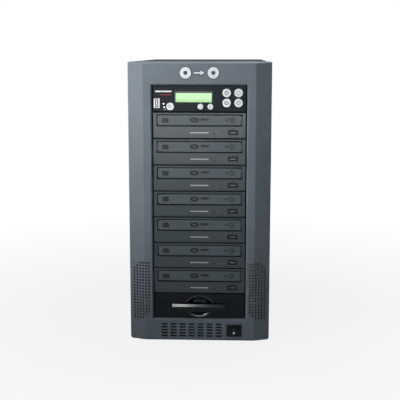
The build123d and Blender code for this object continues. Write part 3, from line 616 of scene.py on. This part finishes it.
def bridge(mesh, rings):
    """Skins each ring to the next, with triangles to a ring of one vertex."""
    count = max(len(loop) for loop in rings)
    for first, second in zip(rings, rings[1:]):
        for k in range(count):
            after = (k + 1) % count
            corners = [first[k % len(first)], first[after % len(first)]]
            corners += [second[after % len(second)], second[k % len(second)]]
            mesh.faces.new(list(dict.fromkeys(corners)))


def block(mesh, low, high):
    """Adds a box between two corners."""
    for vertex in bmesh.ops.create_cube(mesh, size=1.0)["verts"]:
        vertex.co = Vector([a + (b - a) * (c + 0.5) for a, b, c in zip(low, high, vertex.co)])


def surface_of(target):
    """Ray finder for a piece's or node's own mesh."""
    mesh = bmesh.new()
    mesh.from_mesh(target.data)
    mesh.transform(target.matrix_world)
    tree = BVHTree.FromBMesh(mesh)
    mesh.free()
    return tree


def applied(name, target, shapes, material, body, proud=0.12, sunk=0.06):
    """A printed or glued shape that follows the front of the surface under it.

    Each shape is an outline, or an outline and a hole of as many points. It stands proud of the
    surface and reaches into it by so many mm.
    """
    tree = surface_of(target)
    mesh = bmesh.new()

    def lay(points, lift):
        placed = []
        for x, z in points:
            hit, normal, _, _ = tree.ray_cast(Vector((x, -1, z)), Vector((0, 1, 0)))
            if hit is None:
                raise RuntimeError(f"{name} misses its surface at {x:.4f}, {z:.4f}")
            if normal.y > 0:
                normal = -normal
            placed.append(mesh.verts.new(hit + normal * lift * MM))
        return placed

    for shape in shapes:
        outline, hole = shape if isinstance(shape, tuple) else (shape, None)
        top, base = lay(outline, proud), lay(outline, -sunk)
        count = len(outline)
        for k in range(count):
            after = (k + 1) % count
            mesh.faces.new((top[k], base[k], base[after], top[after]))
        if hole is None:
            mesh.faces.new(top)
            mesh.faces.new(base[::-1])
            continue
        inner_top, inner_base = lay(hole, proud), lay(hole, -sunk)
        for k in range(count):
            after = (k + 1) % count
            mesh.faces.new((top[k], top[after], inner_top[after], inner_top[k]))
            mesh.faces.new((base[after], base[k], inner_base[k], inner_base[after]))
            mesh.faces.new((inner_top[k], inner_top[after], inner_base[after], inner_base[k]))
    return as_piece(name, finished(mesh, name), material, body)


def turned(name, x, z, profile, material, body, count=48, knurl=0.0, knurled=()):
    """A lathe-turned piece about a front-to-back axis, from (radius, y) pairs.

    knurled are the numbers of the pairs whose odd vertices go in by knurl.
    """
    mesh = bmesh.new()
    rings = [
        ring(mesh, x, y, z, radius, radius, count, knurl if index in knurled else 0.0)
        for index, (radius, y) in enumerate(profile)
    ]
    bridge(mesh, rings)
    made = as_piece(name, finished(mesh, name, smooth=True), material, body)
    crisp(made, 38)
    return made


# ---------------------------------------------------------------- keys of the control panel
panel = nodes["control_panel"]
panel_low, panel_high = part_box("control_panel")
KEY_DISH = 0.5 * MM
KEY_LIP = 0.02 * MM
KEY_RIM = ((1.0, 0.02), (0.65, 0.0), (0.3, 0.1), (0.08, 0.35), (0.0, 0.7))  # mm inward, mm back
SIGN_RADIUS = 3.6 * MM
SIGN_HOLE = 2.6 * MM

key_caps = {}
for name in (
    "key_upper_left", "key_upper_right", "key_lower_left", "key_lower_right",
    "small_key_left", "small_key_right", "side_key",
):
    low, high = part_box(name)
    x, z = middle(name)
    radius, face = (high.z - low.z) / 2, low.y
    profile = [(0.0, face + KEY_DISH)]
    for share in (0.25, 0.5, 0.7, 0.82):
        profile.append((radius * share, face + KEY_DISH * (1 - (share / 0.86) ** 2) + KEY_LIP))
    profile += [(radius - inward * MM, face + back * MM) for inward, back in KEY_RIM]
    profile += [(radius, high.y), (0.0, high.y)]
    cap = turned(f"{name}_cap", x, z, profile, key_plastic, body_of(name))
    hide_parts(name)
    key_caps[name] = cap


def key_sign(name, kind, shapes):
    applied(
        f"{name}_{kind}", key_caps[name], shapes, grey_ink, body_of(name), proud=0.05
    )


for name, up in (("key_upper_left", True), ("key_lower_left", False)):
    x, z = middle(name)
    arrow = triangle(x, z + (0.3 if up else -0.3) * MM, 3.6 * MM, 3.3 * MM, up)
    key_sign(name, "arrow", [(circle(x, z, SIGN_RADIUS, 36), toward(arrow, x, z))])
for name, heights in (("key_upper_right", (0.0,)), ("key_lower_right", (-0.85, 0.85))):
    x, z = middle(name)
    bars = [capsule(x, z + height * MM, 3.0 * MM, 0.8 * MM) for height in heights]
    key_sign(name, "sign", [(circle(x, z, SIGN_RADIUS), circle(x, z, SIGN_HOLE))] + bars)
x, z = middle("side_key")
bars = [capsule(x + shift * MM, z, 0.7 * MM, 2.4 * MM) for shift in (-0.8, 0.8)]
key_sign("side_key", "sign", [(circle(x, z, 3.2 * MM), circle(x, z, 2.4 * MM))] + bars)
for name in ("small_key_left", "small_key_right"):
    x, z = middle(name)
    key_sign(name, "sign", [(circle(x, z, 1.9 * MM), circle(x, z, 1.05 * MM))])

# ---------------------------------------------------------------- print on the control panel
# A dark green border round the LCD, wider above than below: partly a frame, and its wide top band
# painted shade under the recess's top edge.
lcd_low, lcd_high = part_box("lcd_screen")
LCD_MARGIN = 0.6 * MM
applied(
    "lcd_border", panel,
    [
        ring_round(
            *middle("lcd_screen"), lcd_high.x - lcd_low.x + LCD_MARGIN,
            lcd_high.z - lcd_low.z + LCD_MARGIN, level=(2.4 * MM, 0.7 * MM), side=1.3 * MM,
        )
    ],
    lcd_frame_and_shade, "tower", proud=0.1,
)
for name, across, below, width, height, ink in (  # mm, below the faceplate's top
    ("panel_title_bar", -57.0, 9.0, 26.0, 2.4, white_ink),
    ("panel_title_line", -53.6, 14.4, 18.0, 1.1, red_ink),
    ("panel_lamp_labels", -54.6, 37.6, 4.4, 0.8, grey_ink),
):
    bar = capsule(across * MM, panel_high.z - below * MM, width * MM, height * MM)
    applied(name, panel, [bar], ink, "tower")

# ---------------------------------------------------------------- USB socket contacts
tongue_low, tongue_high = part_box("usb_tongue")
CONTACTS = 4
FIRST_CONTACT, CONTACT_SPAN = 0.16, 0.68  # shares of the tongue's height
CONTACT_START, CONTACT_END = 0.6 * MM, 7.0 * MM  # from the tongue's front
CONTACT_SUNK, CONTACT_PROUD = 0.1 * MM, 0.12 * MM
OUTER_HALF, INNER_HALF = 0.5 * MM, 0.45 * MM
mesh = bmesh.new()
for k in range(CONTACTS):
    share = FIRST_CONTACT + CONTACT_SPAN * k / (CONTACTS - 1)
    rise = tongue_low.z + (tongue_high.z - tongue_low.z) * share
    half = OUTER_HALF if k in (0, CONTACTS - 1) else INNER_HALF
    block(
        mesh,
        (tongue_high.x - CONTACT_SUNK, tongue_low.y + CONTACT_START, rise - half),
        (tongue_high.x + CONTACT_PROUD, tongue_low.y + CONTACT_END, rise + half),
    )
as_piece("usb_contacts", finished(mesh, "usb_contacts"), contact_gold, "tower")

# ---------------------------------------------------------------- disc drives
plate = nodes["drive_bezels"]
PLATE_ABOVE_DOOR = 4.2 * MM
BAR_X, BAR_BELOW = -0.15 * MM, 31.9 * MM
SIGN_BELOW = 25.0 * MM
PINHOLE_X, PINHOLE_BELOW = 23.6 * MM, 33.5 * MM
# The door's marks, in mm right of its left edge and below its top edge.
DISC_MARK, OVAL_MARK, OVAL_DASH, RING_MARK = (12.0, 8.3), (58.4, 7.6), (75.0, 6.6), (118.4, 7.8)


def on_door(number, kind, shapes, ink):
    name = f"tray_door_{number}"
    applied(f"door_{number}_{kind}", nodes[name], shapes, ink, body_of(name))


def on_plate(number, kind, shapes, material, proud=0.12):
    applied(
        f"drive_{number}_{kind}", plate, shapes, material, "tower", proud=proud
    )


def paint_gap_shade(number, kind, name, clearance, level, side):
    """Paints shade on the faceplate round a door or button: a near-black line for the shadow in
    its gap.
    """
    low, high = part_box(name)
    width, height = high.x - low.x + clearance * MM, high.z - low.z + clearance * MM
    line = ring_round(*middle(name), width, height, level * MM, side * MM)
    on_plate(number, kind, [line], gap_shade_plastic, proud=0.03)


for number in DRIVES:
    door, button = f"tray_door_{number}", f"eject_button_{number}"
    door_low, door_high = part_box(door)
    disc_place, oval_place, dash_place, ring_place = [
        (door_low.x + across * MM, door_high.z - below * MM)
        for across, below in (DISC_MARK, OVAL_MARK, OVAL_DASH, RING_MARK)
    ]
    disc = rounded(*disc_place, 10.7 * MM, 7.4 * MM, 2.6 * MM, 8)
    hole = toward(circle(*disc_place, 0.8 * MM, 72), *disc_place)
    on_door(number, "disc_mark", [(disc, hole)], dark_ink)
    eye = (oval(*oval_place, 7.3 * MM, 4.0 * MM), oval(*oval_place, 3.4 * MM, 1.0 * MM))
    dash = capsule(*dash_place, 13.5 * MM, 3.4 * MM)
    on_door(number, "oval_mark", [eye, dash], dark_ink)
    x, z = ring_place
    eye = (circle(x, z, 4.3 * MM), circle(x, z, 1.9 * MM))
    dash = capsule(x - 8.6 * MM, z, 6.4 * MM, 3.4 * MM)
    on_door(number, "ring_mark", [eye, dash], soft_ink)

    plate_top = door_high.z + PLATE_ABOVE_DOOR
    paint_gap_shade(number, "door_shade_line", door, clearance=1.7, level=0.8, side=1.2)
    on_plate(number, "bar", [capsule(BAR_X, plate_top - BAR_BELOW, 29.4 * MM, 1.6 * MM)], bar_ink)
    x, z = middle(button)
    applied(
        f"{button}_mark", nodes[button], [capsule(x, z - 0.2 * MM, 8.6 * MM, 1.5 * MM)],
        soft_grey_ink, body_of(button),
    )
    paint_gap_shade(number, "button_shade_line", button, clearance=0.7, level=0.5, side=0.6)
    sign = triangle(x, plate_top - SIGN_BELOW, 3.8 * MM, 2.4 * MM)
    on_plate(number, "eject_sign", [sign], dark_ink)
    x, z = PINHOLE_X, plate_top - PINHOLE_BELOW
    pinhole = (circle(x, z, 1.5 * MM, 24), circle(x, z, 0.85 * MM, 24))
    on_plate(number, "pinhole_ring", [pinhole], dark_ink, proud=0.05)

# Each tray has a raised ring round the seat of the small disc, open at its front.
TRAY_LAND = 6.0 * MM
DISC_RECESS_RADIUS, DISC_RECESS_DEPTH = 60.25 * MM, 3.0 * MM
SEAT_START, SEAT_SWEEP, SEAT_STEPS = 112, 316, 56  # degrees, degrees, steps
SEAT_SECTION = (  # mm out from the disc's middle, mm above the recess
    (59.4, -0.1), (59.4, 0.5), (59.0, 0.8), (41.4, 0.8), (41.0, 0.5), (41.0, -0.1),
)
for number in DRIVES:
    tray = f"tray_{number}"
    low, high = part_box(tray)
    seat_z = high.z - DISC_RECESS_DEPTH
    seat_y = low.y + TRAY_LAND + DISC_RECESS_RADIUS
    mesh = bmesh.new()
    loops = []
    for radius, lift in SEAT_SECTION:
        loop = []
        for k in range(SEAT_STEPS + 1):
            turn = math.radians(SEAT_START + SEAT_SWEEP * k / SEAT_STEPS)
            x, y = radius * MM * math.cos(turn), seat_y + radius * MM * math.sin(turn)
            loop.append(mesh.verts.new((x, y, seat_z + lift * MM)))
        loops.append(loop)
    for first, second in zip(loops, loops[1:] + loops[:1]):
        for k in range(SEAT_STEPS):
            mesh.faces.new((first[k], first[k + 1], second[k + 1], second[k]))
    for end in (0, SEAT_STEPS):
        mesh.faces.new([loop[end] for loop in loops])
    name = f"{tray}_seat"
    as_piece(name, finished(mesh, name), tray_plastic, body_of(tray))

# ---------------------------------------------------------------- finger bowl of the rack
BOWL_RISE = 20.4 * MM
BOWL_HALF_WIDTH, BOWL_HALF_HEIGHT, BOWL_DEPTH = 23.9 * MM, 18.25 * MM, 8.6 * MM
BOWL_LIP, BOWL_FLOOR = 0.05 * MM, 0.4 * MM
BOWL_SIDES, BOWL_STEPS = 64, 14
bowl_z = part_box("rack_caddy_front")[0].z + BOWL_RISE
bowl_face = panel_low.y
mesh = bmesh.new()
loops = []
for step in range(BOWL_STEPS + 1):
    share = 1 - step / BOWL_STEPS
    y = bowl_face + BOWL_LIP + (BOWL_DEPTH - BOWL_FLOOR) * (1 - share ** 2.2) ** 2.0
    half_width, half_height = BOWL_HALF_WIDTH * share, BOWL_HALF_HEIGHT * share
    loops.append(ring(mesh, 0.0, y, bowl_z, half_width, half_height, BOWL_SIDES))
back = ring(
    mesh, 0.0, bowl_face + BOWL_DEPTH, bowl_z, BOWL_HALF_WIDTH, BOWL_HALF_HEIGHT, BOWL_SIDES
)
bridge(mesh, [back] + loops)
mesh.faces.new(back[::-1])
bowl = as_piece(
    "finger_bowl", finished(mesh, "finger_bowl", smooth=True), bowl_gloss, "rack_caddy",
)
crisp(bowl, 40)

# ---------------------------------------------------------------- power switch marks
rocker = nodes["power_rocker"]
x, z = middle("power_rocker")
off_z, on_z = z - 4.4 * MM, z + 2.2 * MM
for name, shape, ink in (
    ("rocker_off_sign", (circle(x, off_z, 1.7 * MM), circle(x, off_z, 0.8 * MM)), white_ink),
    ("rocker_on_sign", capsule(x, on_z, 0.8 * MM, 2.6 * MM), grey_ink),
):
    applied(name, rocker, [shape], ink, "power_rocker", proud=0.08)

# ---------------------------------------------------------------- painted shade: dark foam behind the slots
FILTER_LEFT, FILTER_BOTTOM, FILTER_WIDTH, FILTER_HEIGHT = -72, 8, 112, 29  # mm
FILTER_FACES = (-0.2145, -0.2115)
FILTER_COLUMNS, FILTER_ROWS = 36, 10
FILTER_SWELL = 0.35 * MM
mesh = bmesh.new()
grid = {}
for side, y in enumerate(FILTER_FACES):
    for i in range(FILTER_COLUMNS + 1):
        for k in range(FILTER_ROWS + 1):
            edge = i in (0, FILTER_COLUMNS) or k in (0, FILTER_ROWS)
            swell = 0.0 if edge else FILTER_SWELL * math.sin(i * 1.7 + k * 2.3)
            x = (FILTER_LEFT + FILTER_WIDTH * i / FILTER_COLUMNS) * MM
            z = (FILTER_BOTTOM + FILTER_HEIGHT * k / FILTER_ROWS) * MM
            grid[side, i, k] = mesh.verts.new((x, y + swell, z))
for i in range(FILTER_COLUMNS):
    for k in range(FILTER_ROWS):
        for side in (0, 1):
            cell = ((i, k), (i + 1, k), (i + 1, k + 1), (i, k + 1))
            mesh.faces.new([grid[side, a, b] for a, b in cell])
rim = [(i, 0) for i in range(FILTER_COLUMNS)]
rim += [(FILTER_COLUMNS, k) for k in range(FILTER_ROWS)]
rim += [(i, FILTER_ROWS) for i in range(FILTER_COLUMNS, 0, -1)]
rim += [(0, k) for k in range(FILTER_ROWS, 0, -1)]
for first, second in zip(rim, rim[1:] + rim[:1]):
    corners = ((0, *first), (0, *second), (1, *second), (1, *first))
    mesh.faces.new([grid[corner] for corner in corners])
as_piece("vent_shade_sheet", finished(mesh, "vent_shade_sheet"), slot_shade_foam, "tower")

# ---------------------------------------------------------------- badge on the bezel
# An arrow from one disc to another, raised on a dark base.
bezel = nodes["front_bezel"]
BADGE_BELOW_TOP = 17.5 * MM
badge_z = cad_high.z - BADGE_BELOW_TOP
BADGE_DISCS = (-22.0 * MM, 22.0 * MM)
BADGE_BASE_RADIUS, BADGE_RADIUS, BADGE_HOLE = 10.0 * MM, 9.0 * MM, 3.2 * MM


def badge_arrow(tail, neck, tip, shaft, head):
    """An arrow that points right, from where it starts, widens and ends, and its half heights."""
    outline = [(tail, -shaft), (neck, -shaft), (neck, -head), (tip, 0.0)]
    outline += [(neck, head), (neck, shaft), (tail, shaft)]
    return [(across * MM, badge_z + rise * MM) for across, rise in outline]


applied(
    "badge_base", bezel,
    [circle(x, badge_z, BADGE_BASE_RADIUS, 64) for x in BADGE_DISCS]
    + [badge_arrow(-9.5, 0.5, 10.4, 2.1, 5.9)],
    badge_dark, "tower", proud=0.45,
)
badge = applied(
    "badge_face", bezel,
    [
        (circle(x, badge_z, BADGE_RADIUS, 64), circle(x, badge_z, BADGE_HOLE, 64))
        for x in BADGE_DISCS
    ]
    + [badge_arrow(-8.6, 1.4, 8.6, 1.2, 4.2)],
    badge_silver, "tower", proud=1.0, sunk=-0.3,
)
bevel(badge, 0.25, angle=50, segments=3)

# ---------------------------------------------------------------- thumb screws at the back
screws_low, screws_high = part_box("cover_screws")
SCREW_HEAD = 4.5 * MM
FACE_PROFILE = (  # mm radius, mm out from the face
    (0.0, -0.9), (2.3, -0.9), (2.5, -0.2), (2.7, 0.0), (3.8, 0.0), (4.4, -0.6),
)
NECK_PROFILE = (  # mm radius, mm out from the seat
    (4.4, 1.6), (3.9, 1.1), (3.5, 1.0), (3.5, 0.0), (0.0, 0.0),
)
profile = [(radius * MM, screws_high.y + out * MM) for radius, out in FACE_PROFILE]
profile += [(radius * MM, screws_low.y + out * MM) for radius, out in NECK_PROFILE]
thumb_screws = [
    turned(
        f"thumb_screw_{side}_{level}", x, z, profile, screw_zinc, "tower",
        count=64, knurl=0.3 * MM, knurled=(5, 6),
    )
    for side, x in (("left", screws_low.x + SCREW_HEAD), ("right", screws_high.x - SCREW_HEAD))
    for level, z in (("low", screws_low.z + SCREW_HEAD), ("high", screws_high.z - SCREW_HEAD))
]
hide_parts("cover_screws")

# ---------------------------------------------------------------- fan screws at the back
PAN_HEAD = (  # mm radius, mm out from the seat
    (2.9, 0.15), (2.9, -0.9), (2.6, -1.5), (2.0, -1.85), (1.2, -2.05), (0.0, -2.1),
)
CROSS_LONG, CROSS_NARROW, CROSS_FLOOR = 1.7 * MM, 0.35 * MM, 1.1 * MM


def cross_screw_mesh():
    """A pan-head screw with a cross recess, facing -Y, its seat at y = 0."""
    mesh = bmesh.new()
    rings = [ring(mesh, 0, y * MM, 0, radius * MM, radius * MM, 32) for radius, y in PAN_HEAD]
    bridge(mesh, rings)
    mesh.faces.new(rings[0][::-1])
    cutter = bmesh.new()
    for x, z in ((CROSS_LONG, CROSS_NARROW), (CROSS_NARROW, CROSS_LONG)):
        block(cutter, (-x, -3.5 * MM, -z), (x, -CROSS_FLOOR, z))
    cutter_data = bpy.data.meshes.new("cross_cutter")
    cutter.to_mesh(cutter_data)
    cutter.free()
    blank = bpy.data.objects.new("cross_blank", finished(mesh, "cross_screw", smooth=True))
    tool = bpy.data.objects.new("cross_tool", cutter_data)
    for thing in (blank, tool):
        bpy.context.scene.collection.objects.link(thing)
    cut = blank.modifiers.new("cut", "BOOLEAN")
    cut.operation = "DIFFERENCE"
    cut.solver = "EXACT"
    cut.use_self = True
    cut.object = tool
    bpy.context.view_layer.update()
    made = bpy.data.meshes.new_from_object(
        blank.evaluated_get(bpy.context.evaluated_depsgraph_get())
    )
    for thing in (blank, tool):
        bpy.data.objects.remove(thing)
    return made


screw_shape = cross_screw_mesh()
FAN_HOLE_REACH = 35.75 * MM
for name, carrier in (("exhaust_fan_rotor", "rear_panel"), ("psu_fan_rotor", "psu_case")):
    fan_x, fan_z = middle(name)
    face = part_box(carrier)[1].y
    for tag, side_x, side_z in (("a", -1, -1), ("b", 1, -1), ("c", -1, 1), ("d", 1, 1)):
        place = (fan_x + side_x * FAN_HOLE_REACH, face, fan_z + side_z * FAN_HOLE_REACH)
        data = screw_shape.copy()
        for vertex in data.vertices:
            vertex.co = Vector((-vertex.co.x, -vertex.co.y, vertex.co.z)) + Vector(place)
        crisp(as_piece(f"{name}_screw_{tag}", data, screw_zinc, "tower"), 35)

# ---------------------------------------------------------------- floor
FLOOR_GREY = (0.5, 0.5, 0.5, 1)
WHITE = (1, 1, 1, 1)
FADE_START, FADE_END = 0.25, 0.95  # metres from the middle, between the two shares of white
FADE_NEAR, FADE_FAR = 0.86, 1.0
FLOOR_IN_GLOSS = 0.15  # how white the floor is in reflections

mesh = bmesh.new()
bmesh.ops.create_grid(mesh, x_segments=1, y_segments=1, size=30.0)
floor_data = bpy.data.meshes.new("floor")
mesh.to_mesh(floor_data)
mesh.free()
floor = bpy.data.objects.new("floor", floor_data)
bpy.context.scene.collection.objects.link(floor)

floor_material = bpy.data.materials.new("pale_floor")
floor_material.use_nodes = True
floor_material.node_tree.nodes.clear()
floor_data.materials.append(floor_material)
tree = Tree(floor_material.node_tree)
matte = tree.node("ShaderNodeBsdfDiffuse", Color=FLOOR_GREY)
white = tree.node("ShaderNodeEmission", Color=WHITE, Strength=1.0)
far = tree.node("ShaderNodeVectorMath", {"operation": "LENGTH"})
tree.set(far, 0, tree.node("ShaderNodeTexCoord").outputs["Object"])
fade = tree.spread(far.outputs["Value"], FADE_NEAR, FADE_FAR, FADE_START, FADE_END)
rays = tree.node("ShaderNodeLightPath").outputs
in_gloss = tree.number("MULTIPLY", rays["Is Glossy Ray"], FLOOR_IN_GLOSS)
seen = tree.number("MAXIMUM", rays["Is Camera Ray"], in_gloss)
seen = tree.number("MAXIMUM", seen, rays["Is Transmission Ray"])
mixed = tree.node("ShaderNodeMixShader", Fac=tree.number("MULTIPLY", seen, fade))
tree.set(mixed, 1, matte.outputs[0])
tree.set(mixed, 2, white.outputs[0])
tree.node("ShaderNodeOutputMaterial", Surface=mixed.outputs[0])

# ---------------------------------------------------------------- world
# Reflections see the white backdrop behind the object and a dimmer room in front of it.
ROOM_FRONT, ROOM_BACK = -0.6, 0.4  # Y of a ray's direction, between the two strengths
ROOM_DIM, ROOM_WHITE = 0.2, 1.0
AMBIENT = 0.08
AMBIENT_TINT = (0.86, 0.95, 1.0, 1)

world = bpy.data.worlds.new("studio")
bpy.context.scene.world = world
world.use_nodes = True
world.node_tree.nodes.clear()
tree = Tree(world.node_tree)
rays = tree.node("ShaderNodeLightPath").outputs
direction = tree.node("ShaderNodeTexCoord").outputs["Generated"]
toward_y = tree.node("ShaderNodeSeparateXYZ", Vector=direction).outputs["Y"]
room = tree.spread(toward_y, ROOM_DIM, ROOM_WHITE, ROOM_FRONT, ROOM_BACK)
mirrored = tree.number("MULTIPLY", rays["Is Glossy Ray"], room)
clear_view = tree.number("MAXIMUM", rays["Is Camera Ray"], rays["Is Transmission Ray"])
strength = tree.number("MAXIMUM", tree.number("MAXIMUM", clear_view, mirrored), AMBIENT)
studio = tree.node(
    "ShaderNodeBackground", Color=tree.blend(clear_view, AMBIENT_TINT, WHITE), Strength=strength
)
tree.node("ShaderNodeOutputWorld", Surface=studio.outputs[0])

# ---------------------------------------------------------------- lamps
COOL = (0.76, 0.9, 1.0)
PLAIN = (1, 1, 1)
BACK_MIDDLE = (0.0, 0.2, 0.25)
CASE_MIDDLE = (0.0, 0.1, 0.2)
LAMPS = (  # name, place, aim, width, height, watts, spread in degrees, colour
    ("key_light", (-0.5, -0.8, 0.62), (-0.03, -0.22, 0.39), 0.35, 0.25, 0.48, 52, PLAIN),
    ("side_key", (-0.64, -0.44, 0.5), (-0.08, -0.2, 0.31), 0.3, 0.25, 0.44, 60, PLAIN),
    ("front_box", (-0.15, -2.8, 0.66), (0.0, -0.2, 0.8), 1.2, 0.8, 0.95, 34, PLAIN),
    ("bar_light", (-0.115, -0.664, 0.904), (-0.02, -0.222, 0.065), 0.1, 0.11, 0.6, 180, PLAIN),
    ("bowl_light", (-0.43, -1.32, 0.57), (0.0, -0.215, 0.05), 0.3, 0.18, 1.45, 180, PLAIN),
    ("fill_light", (1.5, -1.3, 0.7), (0.0, 0.0, 0.25), 1.0, 1.0, 0.8, 180, COOL),
    ("back_light", (0.7, 1.7, 0.55), BACK_MIDDLE, 1.4, 1.2, 2.5, 180, PLAIN),
    ("left_light", (-1.5, 1.1, 0.5), CASE_MIDDLE, 1.4, 1.4, 13.0, 180, PLAIN),
    ("right_light", (1.5, 1.1, 0.5), CASE_MIDDLE, 1.4, 1.4, 10.5, 180, PLAIN),
    ("top_light", (0.0, 0.5, 1.7), (0.0, 0.1, 0.4), 1.0, 0.8, 7.0, 180, PLAIN),
)


def look(thing, place, aim):
    """Puts a lamp or camera at a place and turns it to its aim."""
    thing.location = place
    thing.rotation_euler = (Vector(aim) - Vector(place)).to_track_quat("-Z", "Y").to_euler()
    bpy.context.scene.collection.objects.link(thing)


for name, place, aim, width, height, watts, spread, colour in LAMPS:
    data = bpy.data.lights.new(name, "AREA")
    data.shape = "RECTANGLE"
    data.size, data.size_y = width, height
    data.energy = watts
    data.spread = math.radians(spread)
    data.color = colour
    made = bpy.data.objects.new(name, data)
    made.visible_camera = False
    look(made, place, aim)

# ---------------------------------------------------------------- camera
CAMERA_PLACE = (0.0575, -1.618, 0.4733)
CAMERA_AIM = (-0.0078, 0.0, 0.2027)
camera_data = bpy.data.cameras.new("camera")
camera_data.lens = 79.55
camera_data.sensor_width = 36.0
camera_data.clip_start, camera_data.clip_end = 0.05, 100.0
camera = bpy.data.objects.new("camera", camera_data)
look(camera, CAMERA_PLACE, CAMERA_AIM)
bpy.context.scene.camera = camera
bpy.context.scene.view_settings.view_transform = "Standard"

bpy.context.view_layer.update()
